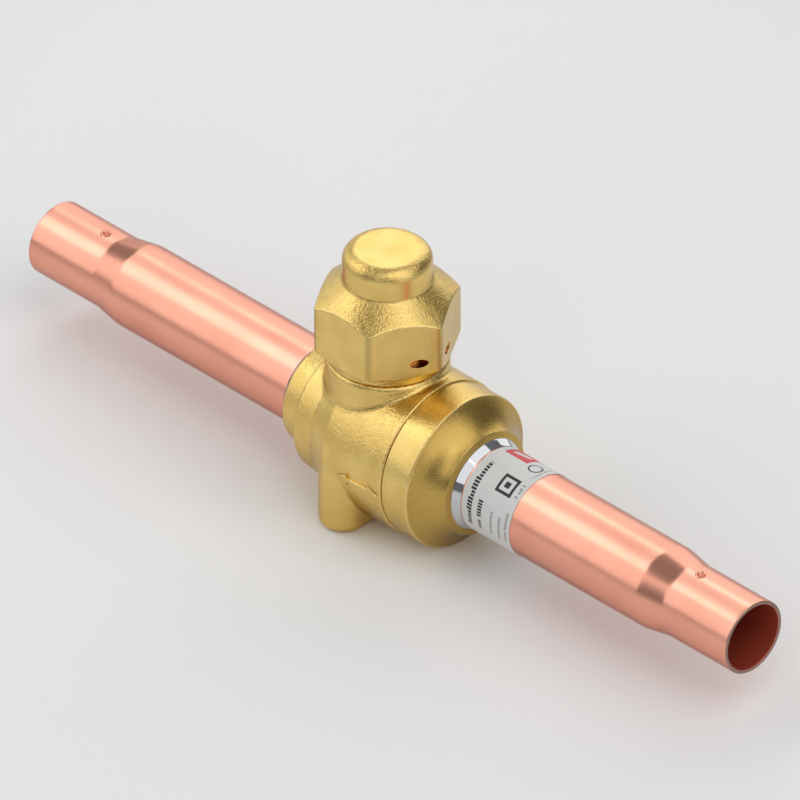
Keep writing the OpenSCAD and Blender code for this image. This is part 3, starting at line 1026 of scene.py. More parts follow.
@dataclass(frozen=True)
class PrintedLabel(Finish):
    """White label film with a plain print: a red field with a pale bar, a ring, a square mark and
    rows of short bars.

    The print is laid out on the label's own map, u along the tube from the label's edge and v round
    it from the label's middle line, both in millimetres. The field is given as its two ends in u
    and its two ends in v, and a middle as its u and v.
    """

    paper: Colour = (0.70, 0.70, 0.69)
    paper_shade: Colour = (0.60, 0.60, 0.58)
    red: Colour = linear(214, 36, 52)
    ink: Colour = (0.012, 0.012, 0.014)
    grey: Colour = (0.16, 0.165, 0.17)
    roughness: float = 0.43
    fibre_size: float = 0.15
    fibre_depth: float = 0.003
    field: tuple[float, float, float, float] = (1.6, 8.7, 9.95, 18.5)
    bar_ends: tuple[float, float] = (3.0, 7.2)
    bar_middle: tuple[float, float] = (5.1, 12.7)
    bar_slope: float = 0.3
    bar_half: float = 0.8
    ring_middle: tuple[float, float] = (11.5, 9.9)
    ring_r: float = 1.6
    ring_half: float = 0.2
    mark_middle: tuple[float, float] = (10.1, 2.15)
    mark_frame: tuple[float, float] = (1.65, 2.4)
    mark_core: float = 0.75
    black_rows: tuple[PrintRow, ...] = (
        PrintRow(3.15, 1.5, -11.4, 5.15),
        PrintRow(6.15, 1.3, -11.2, -3.5),
    )
    grey_rows: tuple[PrintRow, ...] = (
        PrintRow(14.35, 0.95, 0.3, 4.0),
        PrintRow(9.6, 0.8, -11.0, -5.0),
        PrintRow(12.15, 0.8, -11.3, -5.3),
        PrintRow(14.2, 0.8, -10.9, -3.4),
        PrintRow(14.1, 0.6, 6.6, 13.0),
    )

    def rows(self, s: Shader, u: Wire, v: Wire, rows: Sequence[PrintRow]) -> Wire:
        """Bars of several rows: v is cut into cells, a bar fills most of each, its height jumps at
        random between full and seven tenths, and some cells stay empty.

        Args:
            s: Shader that they are added to.
            u: Place along the tube.
            v: Place round the tube.
            rows: The rows.

        Returns:
            1 on the bars, else 0.
        """
        total = None
        for row in rows:
            cell = v / (row.height * 0.55)
            chance = s.dice(cell.whole() + row.foot * 7)
            tall = (chance > 0.62) * (row.height * 0.3) + row.height * 0.7
            bar = (cell.part() < 0.72) * (chance > 0.14)
            bar = bar * (u < row.foot) * (u > row.foot - tall) * v.between(row.low, row.high)
            total = bar if total is None else total + bar
        return total

    def paint(self, s: Shader) -> None:
        """Fills the material's tree. Each block is the product of ranges of u and v.

        Args:
            s: Shader of the material.
        """
        layout = s.node("ShaderNodeUVMap", {"uv_map": "Label"})
        split = s.node("ShaderNodeSeparateXYZ", inputs={0: layout})
        u, v = (Wire(s, split.socket.node.outputs[k]) for k in range(2))
        field = u.between(*self.field[:2]) * v.between(*self.field[2:])
        bar_u, bar_v = self.bar_middle
        off_bar = v - bar_v - (u - bar_u) * self.bar_slope
        pale = u.between(*self.bar_ends) * off_bar.between(-self.bar_half, self.bar_half)
        ring_u, ring_v = self.ring_middle
        ring = (hypotenuse(u - ring_u, v - ring_v) - self.ring_r).size() < self.ring_half
        mark_u, mark_v = self.mark_middle
        square = (u - mark_u).size().most((v - mark_v).size())
        mark = square.between(*self.mark_frame) + square.between(-1, self.mark_core)
        black = self.rows(s, u, v, self.black_rows) + ring + mark
        grey = self.rows(s, u, v, self.grey_rows)
        fibre = s.noise(s.place(), self.fibre_size, 3.0, 0.6)
        tint = s.mix(fibre * 0.12, self.paper, self.paper_shade)
        tint = s.mix(grey.least(1.0) * 0.8, tint, self.grey)
        tint = s.mix(black.least(1.0), tint, self.ink)
        tint = s.mix(field, tint, self.red)
        tint = s.mix(field * pale, tint, self.paper)
        s.surface({
            "Base Color": tint,
            "Roughness": around(self.roughness, (fibre, 0.1)),
            "Normal": s.bump(fibre, self.fibre_depth),
        })


@dataclass(frozen=True)
class PaleFloor(Finish):
    """Plain pale floor, with painted shade that darkens it far from the object."""

    colour: Colour = (0.90, 0.90, 0.90)
    # Painted shade of the floor far from the object.
    far_shade: Colour = (0.52, 0.52, 0.52)
    near_edge: float = 110.0
    far_edge: float = 320.0
    diagonal: float = 0.7071
    flattening: float = 0.55

    def paint(self, s: Shader) -> None:
        """Fills the material's tree. Its pale field is an oval, longer to the back and front of the
        view than to its sides, and painted shade darkens the floor beyond it.

        Args:
            s: Shader of the material.
        """
        x, y, _ = s.axes()
        right, back = (x + y) * self.diagonal, (y - x) * self.diagonal * self.flattening
        # Painted shade: the floor darkens from the near edge to the far edge.
        share = hypotenuse(right, back).ease(self.near_edge, self.far_edge)
        s.surface({
            "Base Color": s.mix(share, self.colour, self.far_shade),
            "Roughness": 0.9,
            "Specular IOR Level": 0.1,
        })


# Sub-assemblies


@dataclass
class Forging:
    """Valve body: forged barrel, boss and foot, and the machined neck."""

    collar_x: float = -21.2
    collar_r: float = 12.845
    tube_seat_r: float = TUBE_SEAT_R
    tube_seat_x: float = -14.2
    passage_r: float = PASSAGE_R
    shoulder_x: float = -14.3
    shoulder_r: float = 16.5
    cone_x: float = -8.2
    cone_step: float = 0.4
    cone_end: float = -1.6
    barrel_r: float = 19.3
    barrel_end: float = BARREL_END
    chamber_half: float = 9.0
    chamber_r: float = 13.3
    pocket_r: float = POCKET_R
    pocket_x: float = POCKET_X
    thread_r: float = 15.55
    boss_r: float = 14.3
    boss_z: float = 20.7
    boss_round: float = 1.2
    foot_half: float = 5.67
    foot_y: float = 14.2
    foot_round: float = 2.2
    foot_top: float = -2.5
    foot_top_blend: float = 5.0
    hole_r: float = 2.1
    hole_depth: float = 8.0
    hole_segments: int = 64
    drill_half_angle: float = 59.0
    stem_hole_r: float = 8.0
    stem_hole_z: tuple[float, float] = (5.0, 24.0)
    neck_r: float = 12.0
    neck_root_r: float = 11.2
    neck_z: float = 36.0
    neck_overlap: float = 5.2
    neck_step: float = 1.5
    neck_segments: int = 256
    thread_pitch: float = CAP_THREAD_PITCH
    thread_depth: float = 0.72
    thread_slope: float = 2.97
    thread_rows: int = 118
    thread_start: float = 2.0
    thread_end: float = 0.6
    recess_r: float = 9.0
    recess_z: float = 32.0
    stem_r: float = 5.05
    stop_inner_r: float = 6.65
    stop_height: float = 2.1
    stop_span: float = 120.0
    stop_sink: float = 0.3
    stop_sections: int = 49
    boss_blend: float = 1.0
    foot_blend: float = 1.2
    step: float = 0.34
    inner_step: float = 2.5
    segments: int = 384
    off_surface: float = 2e-4
    collar_kept: float = 1.0
    nearest_share: float = 0.8
    farthest: float = 36.0
    barrel_range: tuple[float, float] = (15.0, 28.0)

    def outside(self) -> list[Corner]:
        """Corners of the barrel's outside, from the collar's mouth to the barrel's end."""
        return [
            (self.collar_x, self.tube_seat_r, 0.15),
            (self.collar_x, self.collar_r, 0.6),
            (self.shoulder_x, self.collar_r, 0.8),
            (self.shoulder_x, self.shoulder_r, 1.0),
            (self.cone_x, self.shoulder_r + self.cone_step, 1.2),
            (self.cone_end, self.barrel_r, 1.5),
            (self.barrel_end, self.barrel_r, 0.3),
        ]

    def inside(self) -> list[Corner]:
        """Corners of the bores, from the barrel's end back to the collar's mouth."""
        return [
            (self.barrel_end, self.thread_r, 0),
            (self.chamber_half, self.thread_r, 0),
            (self.chamber_half, self.chamber_r, 0),
            (-self.chamber_half, self.chamber_r, 0),
            (-self.chamber_half, self.pocket_r, 0),
            (-self.pocket_x, self.pocket_r, 0),
            (-self.pocket_x, self.passage_r, 0),
            (self.tube_seat_x, self.passage_r, 0),
            (self.tube_seat_x, self.tube_seat_r, 0),
        ]

    def profile(self) -> Array:
        """Closed outline of the barrel without its bores, as rows of (x, radius)."""
        corners = [(self.collar_x, 0, 0), *self.outside()[1:], (self.barrel_end, 0, 0)]
        return outline(corners, self.barrel_end - self.collar_x)

    def distance(self, points: Array, profile: Array) -> Array:
        """Distance to the forging's surface, below 0 inside. The barrel's part is the distance to
        its outline in the plane of x and radius. The boss is an upright rounded cylinder that
        starts at the pipe's axis, and the foot is an upright slab with round ends and rounded
        lower edges. They are joined by smooth minimums, and flat cuts end them above and below.

        Args:
            points: Points, one a row.
            profile: Closed outline of the barrel as rows of (x, radius).

        Returns:
            Distances.
        """
        x, y, z = points.T
        flat = np.stack([x, np.hypot(y, z)], -1)
        barrel = outline_distance(profile, flat)
        wall = np.hypot(x, y) - self.boss_r + self.boss_round
        top = z - self.boss_z + self.boss_round
        boss = np.maximum(rounded_edge(wall, top, self.boss_round), -z)
        side = np.hypot(x, np.maximum(np.abs(y) - self.foot_y, 0)) - self.foot_half + self.foot_round
        sole = -z - AXIS_HEIGHT + self.foot_round
        foot = rounded_edge(side, sole, self.foot_round)
        foot = -smaller(-foot, self.foot_top - z, self.foot_top_blend)
        joined = smaller(smaller(barrel, boss, self.boss_blend), foot, self.foot_blend)
        return np.maximum(np.maximum(joined, z - self.boss_z), -z - AXIS_HEIGHT)

    def skin(self) -> tuple[Array, Faces]:
        """Forged skin with its bores. The barrel's outline is turned about the pipe. Each outer
        point that is off the surface, apart from those of the collar's mouth, then moves along its
        ray from the ball's centre to where the distance is 0, found by halving.

        Returns:
            Points and faces.
        """
        outer = outline([*self.outside(), (self.barrel_end, self.thread_r, 0)], self.step)[:-1]
        inner = subdivided(np.array([c[:2] for c in self.inside()]), self.inner_step, False)
        profile = self.profile()
        grid = turned(np.vstack([outer, inner]), Turning.PIPE, self.segments)
        shell = grid[: len(outer)].reshape(-1, 3)
        reach = np.linalg.norm(shell, axis=1)
        off = np.abs(self.distance(shell, profile)) > self.off_surface
        move = off & (shell[:, 0] > self.collar_x + self.collar_kept)
        ray = shell[move] / reach[move, None]
        length = meeting(
            lambda points: self.distance(points, profile),
            np.zeros(3), ray, reach[move] * self.nearest_share, np.full(move.sum(), self.farthest))
        shell[move] = ray * length[:, None]
        grid[: len(outer)] = shell.reshape(len(outer), self.segments, 3)
        return grid, grid_faces(grid, wrap_rows=True)

    def skin_radius(self, x: Array, angle: Array) -> Array:
        """Radius of the skin about the pipe at places on the barrel.

        Args:
            x: Places along the pipe.
            angle: Angles round it, from the top towards +Y.

        Returns:
            Radii.
        """
        flat_x, flat_angle = x.ravel(), angle.ravel()
        nothing = 0 * flat_x
        profile = self.profile()
        low, high = self.barrel_range
        length = meeting(
            lambda points: self.distance(points, profile),
            np.stack([flat_x, nothing, nothing], -1),
            np.stack([nothing, np.sin(flat_angle), np.cos(flat_angle)], -1),
            nothing + low, nothing + high)
        return length.reshape(x.shape)

    def neck(self) -> tuple[Array, Faces]:
        """Neck with its thread: an outline turned about the stem, whose radius on the thread falls
        by a triangle wave of height and angle, so that it is one helix.

        Returns:
            Points and faces.
        """
        root, bottom = self.neck_root_r, self.boss_z - self.neck_overlap
        low, high = self.boss_z + self.thread_start, self.neck_z - self.thread_end
        rows = np.linspace(low + 0.1, high, self.thread_rows)
        path = np.vstack([
            outline([
                (self.stem_r, bottom, 0),
                (root, bottom, 0),
                (root, self.boss_z + 1.2, 0.2),
                (self.neck_r - 0.1, low, 0),
            ], self.neck_step),
            np.stack([np.full(self.thread_rows, self.neck_r), rows], -1),
            outline([
                (self.neck_r - 0.6, self.neck_z, 0.1),
                (self.recess_r, self.neck_z, 0.15),
                (self.recess_r, self.recess_z, 0),
                (self.stem_r, self.recess_z, 0.2),
                (self.stem_r, bottom, 0),
            ], self.neck_step)[:-1],
        ])
        grid = turned(path, Turning.STEM, self.neck_segments)
        radius = np.hypot(grid[..., 0], grid[..., 1])
        turn = np.arctan2(grid[..., 1], grid[..., 0]) / (2 * np.pi)
        height = grid[..., 2]
        groove = thread_groove(height, turn, self.thread_pitch, self.thread_slope) * self.thread_depth
        on_thread = np.clip((height - low) / 0.5, 0, 1) * np.clip((high - height) / 0.7, 0, 1)
        depth = np.where(radius > self.recess_r + 1.5, groove * on_thread, 0)
        grid[..., :2] *= (1 - depth / radius)[..., None]
        return grid, grid_faces(grid, wrap_rows=True)

    def fixed_stop(self) -> tuple[Array, Faces]:
        """Stop in the neck's recess: a ring sector, its section carried round the stem.

        Returns:
            Points and faces.
        """
        start = 180 - self.stop_span / 2
        angle = np.radians(np.linspace(start, start + self.stop_span, self.stop_sections))
        floor, top = self.recess_z - self.stop_sink, self.recess_z + self.stop_height
        wall = self.recess_r + self.stop_sink
        section = outline([
            (self.stop_inner_r, floor, 0),
            (wall, floor, 0),
            (wall, top, 0),
            (self.stop_inner_r, top, 0.2),
        ], 1.0, closed=True)
        radius, height = section[:, 0], section[:, 1]
        grid = np.stack([
            np.outer(np.cos(angle), radius),
            np.outer(np.sin(angle), radius),
            np.tile(height, (len(angle), 1)),
        ], -1)
        grid = with_poles(grid)
        return grid, grid_faces(grid, wrap_rows=False)

    def hole(self, side: float) -> bpy.types.Object:
        """Drilled hole in the foot, as a solid with a drill point that is cut away.

        Args:
            side: 1 for the hole at +Y and -1 for the other.

        Returns:
            The solid.
        """
        point = self.hole_r / math.tan(math.radians(self.drill_half_angle))
        path = np.array([
            (0, -AXIS_HEIGHT - 1),
            (self.hole_r, -AXIS_HEIGHT - 1),
            (self.hole_r, self.hole_depth - AXIS_HEIGHT),
            (0, self.hole_depth + point - AXIS_HEIGHT),
        ])
        grid, faces = turned_part(path, Turning.STEM, self.hole_segments, closed=False)
        return mesh_piece(f"cutter_{side:+.0f}", [(grid + [0, side * self.foot_y, 0], faces)])

    def stem_hole(self) -> bpy.types.Object:
        """Hole through the barrel under the neck, as a solid that is cut away.

        Returns:
            The solid.
        """
        radius, (low, high) = self.stem_hole_r, self.stem_hole_z
        path = np.array([(0, low), (radius, low), (radius, high), (0, high)])
        part = turned_part(path, Turning.STEM, self.hole_segments, closed=False)
        return mesh_piece("cutter_stem", [part])

    def build(self, skin: bpy.types.Material, machined: bpy.types.Material) -> None:
        """Makes the body's pieces.

        Args:
            skin: Finish of the forged skin.
            machined: Finish of the neck.
        """
        body = mesh_piece("valve_body_forging", [self.skin()])
        cut_away(body, [self.stem_hole(), self.hole(-1), self.hole(1)])
        mark_edges(body)
        finish_piece(body, Rider.VALVE, skin, "forged_brass", "valve_body")
        neck = mesh_piece("valve_body_neck", [self.neck(), self.fixed_stop()])
        finish_piece(neck, Rider.VALVE, machined, "forged_brass")


def outline_distance(path: Array, points: Array) -> Array:
    """Distance to a closed outline in the plane, below 0 inside: the least distance to its sides,
    with the sign from the number of sides that a ray crosses.

    Args:
        path: Corners of the outline.
        points: Points, one a row.

    Returns:
        Distances.
    """
    best = np.full(len(points), np.inf)
    inside = np.zeros(len(points), bool)
    for a, b in zip(path, np.roll(path, -1, 0)):
        side, away = b - a, points - a
        share = np.clip(away @ side / max(side @ side, 1e-12), 0, 1)
        best = np.minimum(best, ((away - share[:, None] * side) ** 2).sum(1))
        crosses = (a[1] > points[:, 1]) != (b[1] > points[:, 1])
        if a[1] != b[1]:
            at = a[0] + (points[:, 1] - a[1]) * side[0] / side[1]
            inside ^= crosses & (points[:, 0] < at)
    return np.where(inside, -1, 1) * np.sqrt(best)


@dataclass
class FlowArrow:
    """Raised arrow with two heads on the barrel's side."""

    length: float = 12.4
    width: float = 3.0
    middle_x: float = 9.6
    drop: float = 5.0
    rise: float = 0.5
    sink: float = 0.6
    tip_length: float = 0.25
    rows: int = 97
    wall: tuple[float, ...] = (0.26, 0.12, 0.0, -0.12)
    wall_level: tuple[float, ...] = (-1.0, -0.1, 0.88, 1.0)

    def build(self, material: bpy.types.Material, forging: Forging) -> None:
        """Makes the arrow: a grid along its length whose half-width follows the heads and the
        shaft. Across, each row climbs a steep wall at the rim and is flat on top. Its place across
        is an angle round the pipe, its height is counted from the forging's skin, and its
        underside lies in the forging.

        Args:
            material: Finish of the arrow.
            forging: Forging that it stands on.
        """
        half, head, shaft = self.length / 2, self.width, self.width / 6
        along = np.unique(np.concatenate([
            np.linspace(-half, half, self.rows),
            [head - half, half - head, head - half + 0.02, half - head - 0.02],
        ]))
        tip = half - np.abs(along)
        reach = np.where(tip <= head + 0.01, tip / 2, shaft)[:, None]
        side = np.maximum(reach + np.array(self.wall), 0.01)
        crown = side[:, -1:] * 0.4
        place = np.concatenate([-side, -crown, crown, side[:, ::-1]], 1)
        level = np.concatenate([self.wall_level, [1.0, 1.0], self.wall_level[::-1]])
        angle = np.radians(270 - self.drop) + place / forging.barrel_r
        x = self.middle_x + along[:, None] + 0 * angle
        base = forging.skin_radius(x, angle)
        radius = base + self.rise * level * np.minimum(1, tip / self.tip_length)[:, None]
        top, under = (
            np.stack([x, r * np.sin(angle), r * np.cos(angle)], -1) for r in (radius, base - self.sink)
        )
        grid = with_poles(np.concatenate([top, under[:, ::-1]], 1))
        piece = mesh_piece("flow_arrow", [(grid, grid_faces(grid, wrap_rows=False))])
        mark_edges(piece)
        finish_piece(piece, Rider.VALVE, material, "forged_brass")


@dataclass
class EndNut:
    """End connector with its cupped face and hub."""

    barrel_end: float = BARREL_END
    radius: float = 18.9
    flange_x: float = 24.6
    cup_radius: float = 12.0
    cup_span: tuple[float, float] = (0.05, 0.96)
    cup_rows: int = 26
    hub_x: float = 31.05
    hub_r: float = 12.795
    lip_x: float = 31.55
    lip_r: float = 11.345
    tube_seat_r: float = TUBE_SEAT_R
    tube_bore_r: float = TUBE_BORE_R
    socket_x: float = 20.55
    passage_r: float = PASSAGE_R
    pocket_x: float = POCKET_X
    pocket_r: float = POCKET_R
    back_x: float = 9.1
    thread_r: float = 15.5
    gap: float = 0.02
    segments: int = 288

    def cup(self) -> Array:
        """Cupped face: an arc of a given radius through the flange's and the hub's corners. Its
        points start and end at the shares of the arc that the cup's span gives.

        Returns:
            Rows of (x, radius).
        """
        start = np.array([self.flange_x, self.radius])
        end = np.array([self.hub_x, self.hub_r])
        middle, chord = (start + end) / 2, end - start
        half = np.linalg.norm(chord) / 2
        normal = np.array([-chord[1], chord[0]]) / (2 * half)
        centre = middle + normal * math.sqrt(self.cup_radius**2 - half**2)
        first, sweep = turn_between(start - centre, end - centre)
        shares = np.linspace(*self.cup_span, self.cup_rows)
        return circle_points(centre, self.cup_radius, first + sweep * shares)

    def build(self, material: bpy.types.Material) -> None:
        """Makes the nut: one loop turned about the pipe.

        Args:
            material: Finish of the nut.
        """
        corners = [
            (self.back_x, self.pocket_r, 0),
            (self.back_x, self.thread_r, 0.3),
            (self.barrel_end + self.gap, self.thread_r, 0),
            (self.barrel_end + self.gap, self.radius, 0.25),
            (self.flange_x, self.radius, 0.3),
            *[(x, r, 0) for x, r in self.cup()],
            (self.hub_x, self.hub_r, 0.12),
            (self.lip_x, self.lip_r, 0.1),
            (self.lip_x, self.tube_seat_r, 0),
            (self.socket_x, self.tube_seat_r, 0),
            (self.socket_x, self.tube_bore_r, 0),
            (self.pocket_x, self.passage_r, 0),
            (self.pocket_x, self.pocket_r, 0),
        ]
        path = outline(corners, 0.7, closed=True)
        piece = mesh_piece("end_nut_turned", [turned_part(path, Turning.PIPE, self.segments)])
        mark_edges(piece)
        finish_piece(piece, Rider.VALVE, material, "forged_brass", "end_nut")


@dataclass
class LineTube:
    """Copper tube with a reduced solder socket and a staked dimple."""

    side: Side
    root: float
    reach: float
    radius: float = 10.225
    bore_r: float = TUBE_BORE_R
    socket_r: float = 8.025
    relief_r: float = 8.225
    end_r: float = 9.025
    straight: float = 20.4
    cone: float = 7.1
    blend: float = 6.0
    sized: float = 15.0
    stake_inset: float = 16.5
    stake_d: float = 2.0
    stake_depth: float = 0.75
    stake_zone: float = 1.8
    stake_fine: float = 1.7
    stake_rows: int = 57
    rim_height: float = 0.09
    rim_place: float = 1.15
    rim_width: float = 0.16
    rim_end: float = 2.5
    punch_wall: float = 0.5
    split_r: float = 8.6
    fine_half: float = 8.0
    fine_steps: int = 65
    wide_steps: int = 200

    def wall(self) -> Array:
        """Closed outline of the tube's wall, with the straight stretches outside and inside the
        dimple cut finer.

        Returns:
            Rows of (x, radius).
        """
        straight_x, cone_x = self.reach - self.straight, self.reach - self.straight - self.cone
        corners = [
            (self.root, self.bore_r, 0),
            (self.root, self.radius, 0),
            (cone_x, self.radius, self.blend),
            (straight_x, self.end_r, self.blend),
            (self.reach, self.end_r, 0.28),
            (self.reach, self.socket_r, 0.35),
            (self.reach - self.sized, self.socket_r, 0),
            (self.reach - self.sized - 0.3, self.relief_r, 0),
            (straight_x, self.relief_r, self.blend),
            (cone_x, self.bore_r, self.blend),
        ]
        path = outline(corners, 0.9, closed=True)
        stake_x = self.reach - self.stake_inset
        near = np.abs(path[:, 0] - stake_x) < self.stake_zone
        fine = np.linspace(-self.stake_fine, self.stake_fine, self.stake_rows) + stake_x
        outer = near & (path[:, 1] > self.split_r)
        inner = near & (path[:, 1] <= self.split_r)
        first_outer, first_inner = np.argmax(outer), np.argmax(inner)
        return np.concatenate([
            path[:first_outer],
            np.stack([fine, np.interp(fine, path[outer][:, 0], path[outer][:, 1])], -1),
            path[first_outer + outer.sum() : first_inner],
            np.stack([fine[::-1], np.full(self.stake_rows, self.socket_r)], -1),
            path[first_inner + inner.sum() :],
        ])

    def stake(self, grid: Array) -> None:
        """Presses the dimple into a grid. It pushes the wall in by a punch mark with steep sides,
        a smooth step of the distance over the surface from its middle, and has a low rim round it,
        a bell curve of the same distance. The distance is counted in radii of the mark.

        Args:
            grid: Points of the tube, which are moved.
        """
        span = self.end_r * np.arctan2(grid[..., 1], grid[..., 2])
        away = np.hypot(grid[..., 0] - self.reach + self.stake_inset, span) / (self.stake_d / 2)
        slope = np.clip((1 - away) / self.punch_wall, 0, 1)
        bowl = slope**2 * (3 - 2 * slope) * self.stake_depth
        rim = self.rim_height * np.exp(-(((away - self.rim_place) / self.rim_width) ** 2))
        radius = np.hypot(grid[..., 1], grid[..., 2])
        scale = 1 - (bowl - rim) / radius
        grid[..., 1:] *= np.where(away < self.rim_end, scale, 1)[..., None]

    def build(self, material: bpy.types.Material) -> None:
        """Makes the tube: its wall turned about the pipe, with finer steps across the dimple.

        Args:
            material: Finish of the tube.
        """
        half = self.fine_half
        narrow = np.linspace(-half, half, self.fine_steps)[1:-1]
        angle = np.radians(np.concatenate([narrow, np.linspace(half, 360 - half, self.wide_steps)]))
        grid = turned(self.wall(), Turning.PIPE, angle)
        self.stake(grid)
        grid[..., 0] *= self.side.value
        name = f"{self.side.name.lower()}_tube"
        piece = mesh_piece(f"{name}_drawn", [(grid, grid_faces(grid, wrap_rows=True))])
        mark_edges(piece)
        finish_piece(piece, Rider.VALVE, material, "copper", name)


@dataclass
class Braze:
    """Fillet of silver braze where a tube enters the brass."""

    side: Side
    face_x: float
    length: float = 2.0
    height: float = 1.1
    radius: float = TUBE_SEAT_R
    segments: int = 288

    def build(self, material: bpy.types.Material) -> None:
        """Makes the fillet: a straight cone turned about the pipe with a rounded shoulder, its toe
        a little uneven by low waves of the angle.

        Args:
            material: Finish of the braze.
        """
        path = outline([
            (self.face_x, self.radius, 0),
            (self.face_x, self.radius + self.height, 0),
            (self.face_x + 0.15, self.radius + self.height, 0.08),
            (self.face_x + self.length, self.radius + 0.08, 0.05),
            (self.face_x + self.length, self.radius, 0),
        ], 0.4, closed=True)
        angle = round_angles(self.segments)
        grid = turned(path, Turning.PIPE, angle)
        wave = 1 + 0.02 * np.sin(3 * angle + 0.5) + 0.012 * np.sin(7 * angle)
        grid[..., 0] = self.face_x + (grid[..., 0] - self.face_x) * wave
        grid[..., 0] *= self.side.value
        name = f"{self.side.name.lower()}_braze"
        piece = mesh_piece(f"{name}_fillet", [(grid, grid_faces(grid, wrap_rows=True))])
        finish_piece(piece, Rider.VALVE, material, "silver_braze", name)


@dataclass
class SealCap:
    """Hexagon cap with its knob, thread and seal-wire hole."""

    bottom: float = 21.2
    hex_z: float = 23.3
    crown_z: float = 37.6
    top: float = 49.4
    flats: float = 30.0
    corner_round: float = 1.5
    skirt_slope: float = 0.43
    crown_slope: float = 0.84
    knob_r: float = 10.35
    knob_round: float = 3.0
    knob_blend: float = 1.2
    bore_r: float = 12.08
    ceiling: float = 37.2
    knob_bore_r: float = 7.9
    knob_ceiling: float = 47.2
    wire_x: float = 14.70
    wire_z: float = 27.0
    wire_r: float = 1.1
    wire_reach: float = 40.0
    pitch: float = CAP_THREAD_PITCH
    thread_depth: float = 0.6
    thread_slope: float = 3.0
    thread_rows: int = 130
    hex_blend: float = 0.35
    segments: int = 276
    cut_grain: float = 0.3
    flat_margin: float = 0.06
    face_margin: float = 0.01
    wall_margin: float = 0.05
    step: float = 0.24
    wire_segments: int = 48
    # Stripe of painted dark reflection down each rounded corner, as distances from its middle.
    stripe: tuple[float, float] = (0.6, 0.95)

    def off_corner(self, angle: Array) -> Array:
        """Angles from the nearest corner, one of the corners being at angle 0."""
        return np.abs((angle + np.pi / 6) % (np.pi / 3) - np.pi / 6)

    def hexagon(self, angle: Array) -> Array:
        """Radius of the hexagon with rounded corners, one of them at angle 0: a flat's distance
        over the cosine from its middle, or the far crossing with the corner's circle.

        Args:
            angle: Angles round the stem.

        Returns:
            Radii.
        """
        half = self.flats / 2
        off_corner = self.off_corner(angle)
        flat = half / np.cos(np.pi / 6 - off_corner)
        centre = (half - self.corner_round) / math.cos(math.pi / 6)
        limit = math.atan2(self.corner_round * 0.5, centre + self.corner_round * math.cos(math.pi / 6))
        root = np.maximum(self.corner_round**2 - (centre * np.sin(off_corner)) ** 2, 0)
        arc = centre * np.cos(off_corner) + np.sqrt(root)
        return np.where(off_corner < limit, arc, flat)

    def grain_left(self, points: Array) -> Array:
        """How much of the blasted grain is left: all of it on the cones and the knob's rounding,
        and a little on the faces that are cut smooth. A point is on a flat where its largest
        reach along the six flats' normals is half the width over flats.

        Args:
            points: Points, one a row, z counted from the pipe's axis.

        Returns:
            Shares from 0 to 1.
        """
        x, y, z = points.T
        way = np.radians(30 + 60 * np.arange(6))
        across = (np.outer(x, np.cos(way)) + np.outer(y, np.sin(way))).max(1)
        radius = np.hypot(x, y)
        flat = across > self.flats / 2 - self.flat_margin
        top = (z > self.top - self.face_margin) & (radius < self.knob_r)
        side = np.abs(radius - self.knob_r) < self.face_margin
        return np.where(flat | top | side, self.cut_grain, 1.0)

    def corner_reflection_share(self, points: Array) -> Array:
        """Share of painted dark reflection on the hexagon's rounded corners: how near a point of the
        hexagon's sides is to a corner. It is 1 up to the stripe's first distance from the corner's
        middle, falling to 0 at its second.

        Args:
            points: Points, one a row, z counted from the pipe's axis.

        Returns:
            Shares from 0 to 1, and 0 on the cones and the knob.
        """
        x, y, _ = points.T
        radius, angle = np.hypot(x, y), np.arctan2(y, x)
        full, none = self.stripe
        share = np.clip((none - radius * np.sin(self.off_corner(angle))) / (none - full), 0, 1)
        return np.where(radius > self.hexagon(angle) - self.wall_margin, share, 0)

    def outside(self) -> Array:
        """Outline of the outside as if it were round: knob, crown cone, walls that lie beyond the
        hexagon's corners, skirt cone and rim.

        Returns:
            Rows of (radius, height).
        """
        half = self.flats / 2
        corner_r = half / math.cos(math.pi / 6)
        rise = (corner_r - half) * self.skirt_slope
        drop = (corner_r - half) * self.crown_slope
        knob_foot = self.crown_z + (half - self.knob_r) * self.crown_slope
        return outline([
            (0, self.top, 0),
            (self.knob_r, self.top, self.knob_round),
            (self.knob_r, knob_foot, self.knob_blend),
            (corner_r + 0.3, self.crown_z - drop - 0.3 * self.crown_slope, 0),
            (corner_r + 0.3, self.hex_z + rise + 0.3 * self.skirt_slope, 0),
            (half - 0.1, self.hex_z - 0.1, 0.3),
            (half - 0.6, self.bottom, 0.3),
            (self.bore_r + 0.6, self.bottom, 0),
        ], self.step)

    def thread_heights(self) -> Array:
        """Heights of the rows that carry the thread."""
        return np.linspace(self.bottom + 0.6, self.ceiling, self.thread_rows)

    def inside(self) -> Array:
        """Outline of the inside: the bore's chamfer and wall, and the hollow of the knob.

        Returns:
            Rows of (radius, height).
        """
        return np.vstack([
            [(self.bore_r + 0.3, self.bottom + 0.25)],
            np.stack([np.full(self.thread_rows, self.bore_r), self.thread_heights()], -1),
            subdivided(np.array([
                (self.knob_bore_r, self.ceiling),
                (self.knob_bore_r, self.knob_ceiling),
                (0, self.knob_ceiling),
            ]), 2.0, False),
        ])

    def cut_flats(self, shell: Array, angle: Array) -> None:
        """Cuts the flats: a point's radius becomes the smooth minimum of its own and the hexagon's.

        Args:
            shell: Points of the outside, which are moved.
            angle: Angles round the stem.
        """
        radius = np.hypot(shell[..., 0], shell[..., 1])
        limited = smaller(radius, self.hexagon(angle)[None] + 0 * radius, self.hex_blend)
        limited = np.where(radius < self.flats / 2 - 1.0, radius, limited)
        shell[..., :2] *= np.where(radius > 0, limited / np.maximum(radius, 1e-9), 1)[..., None]

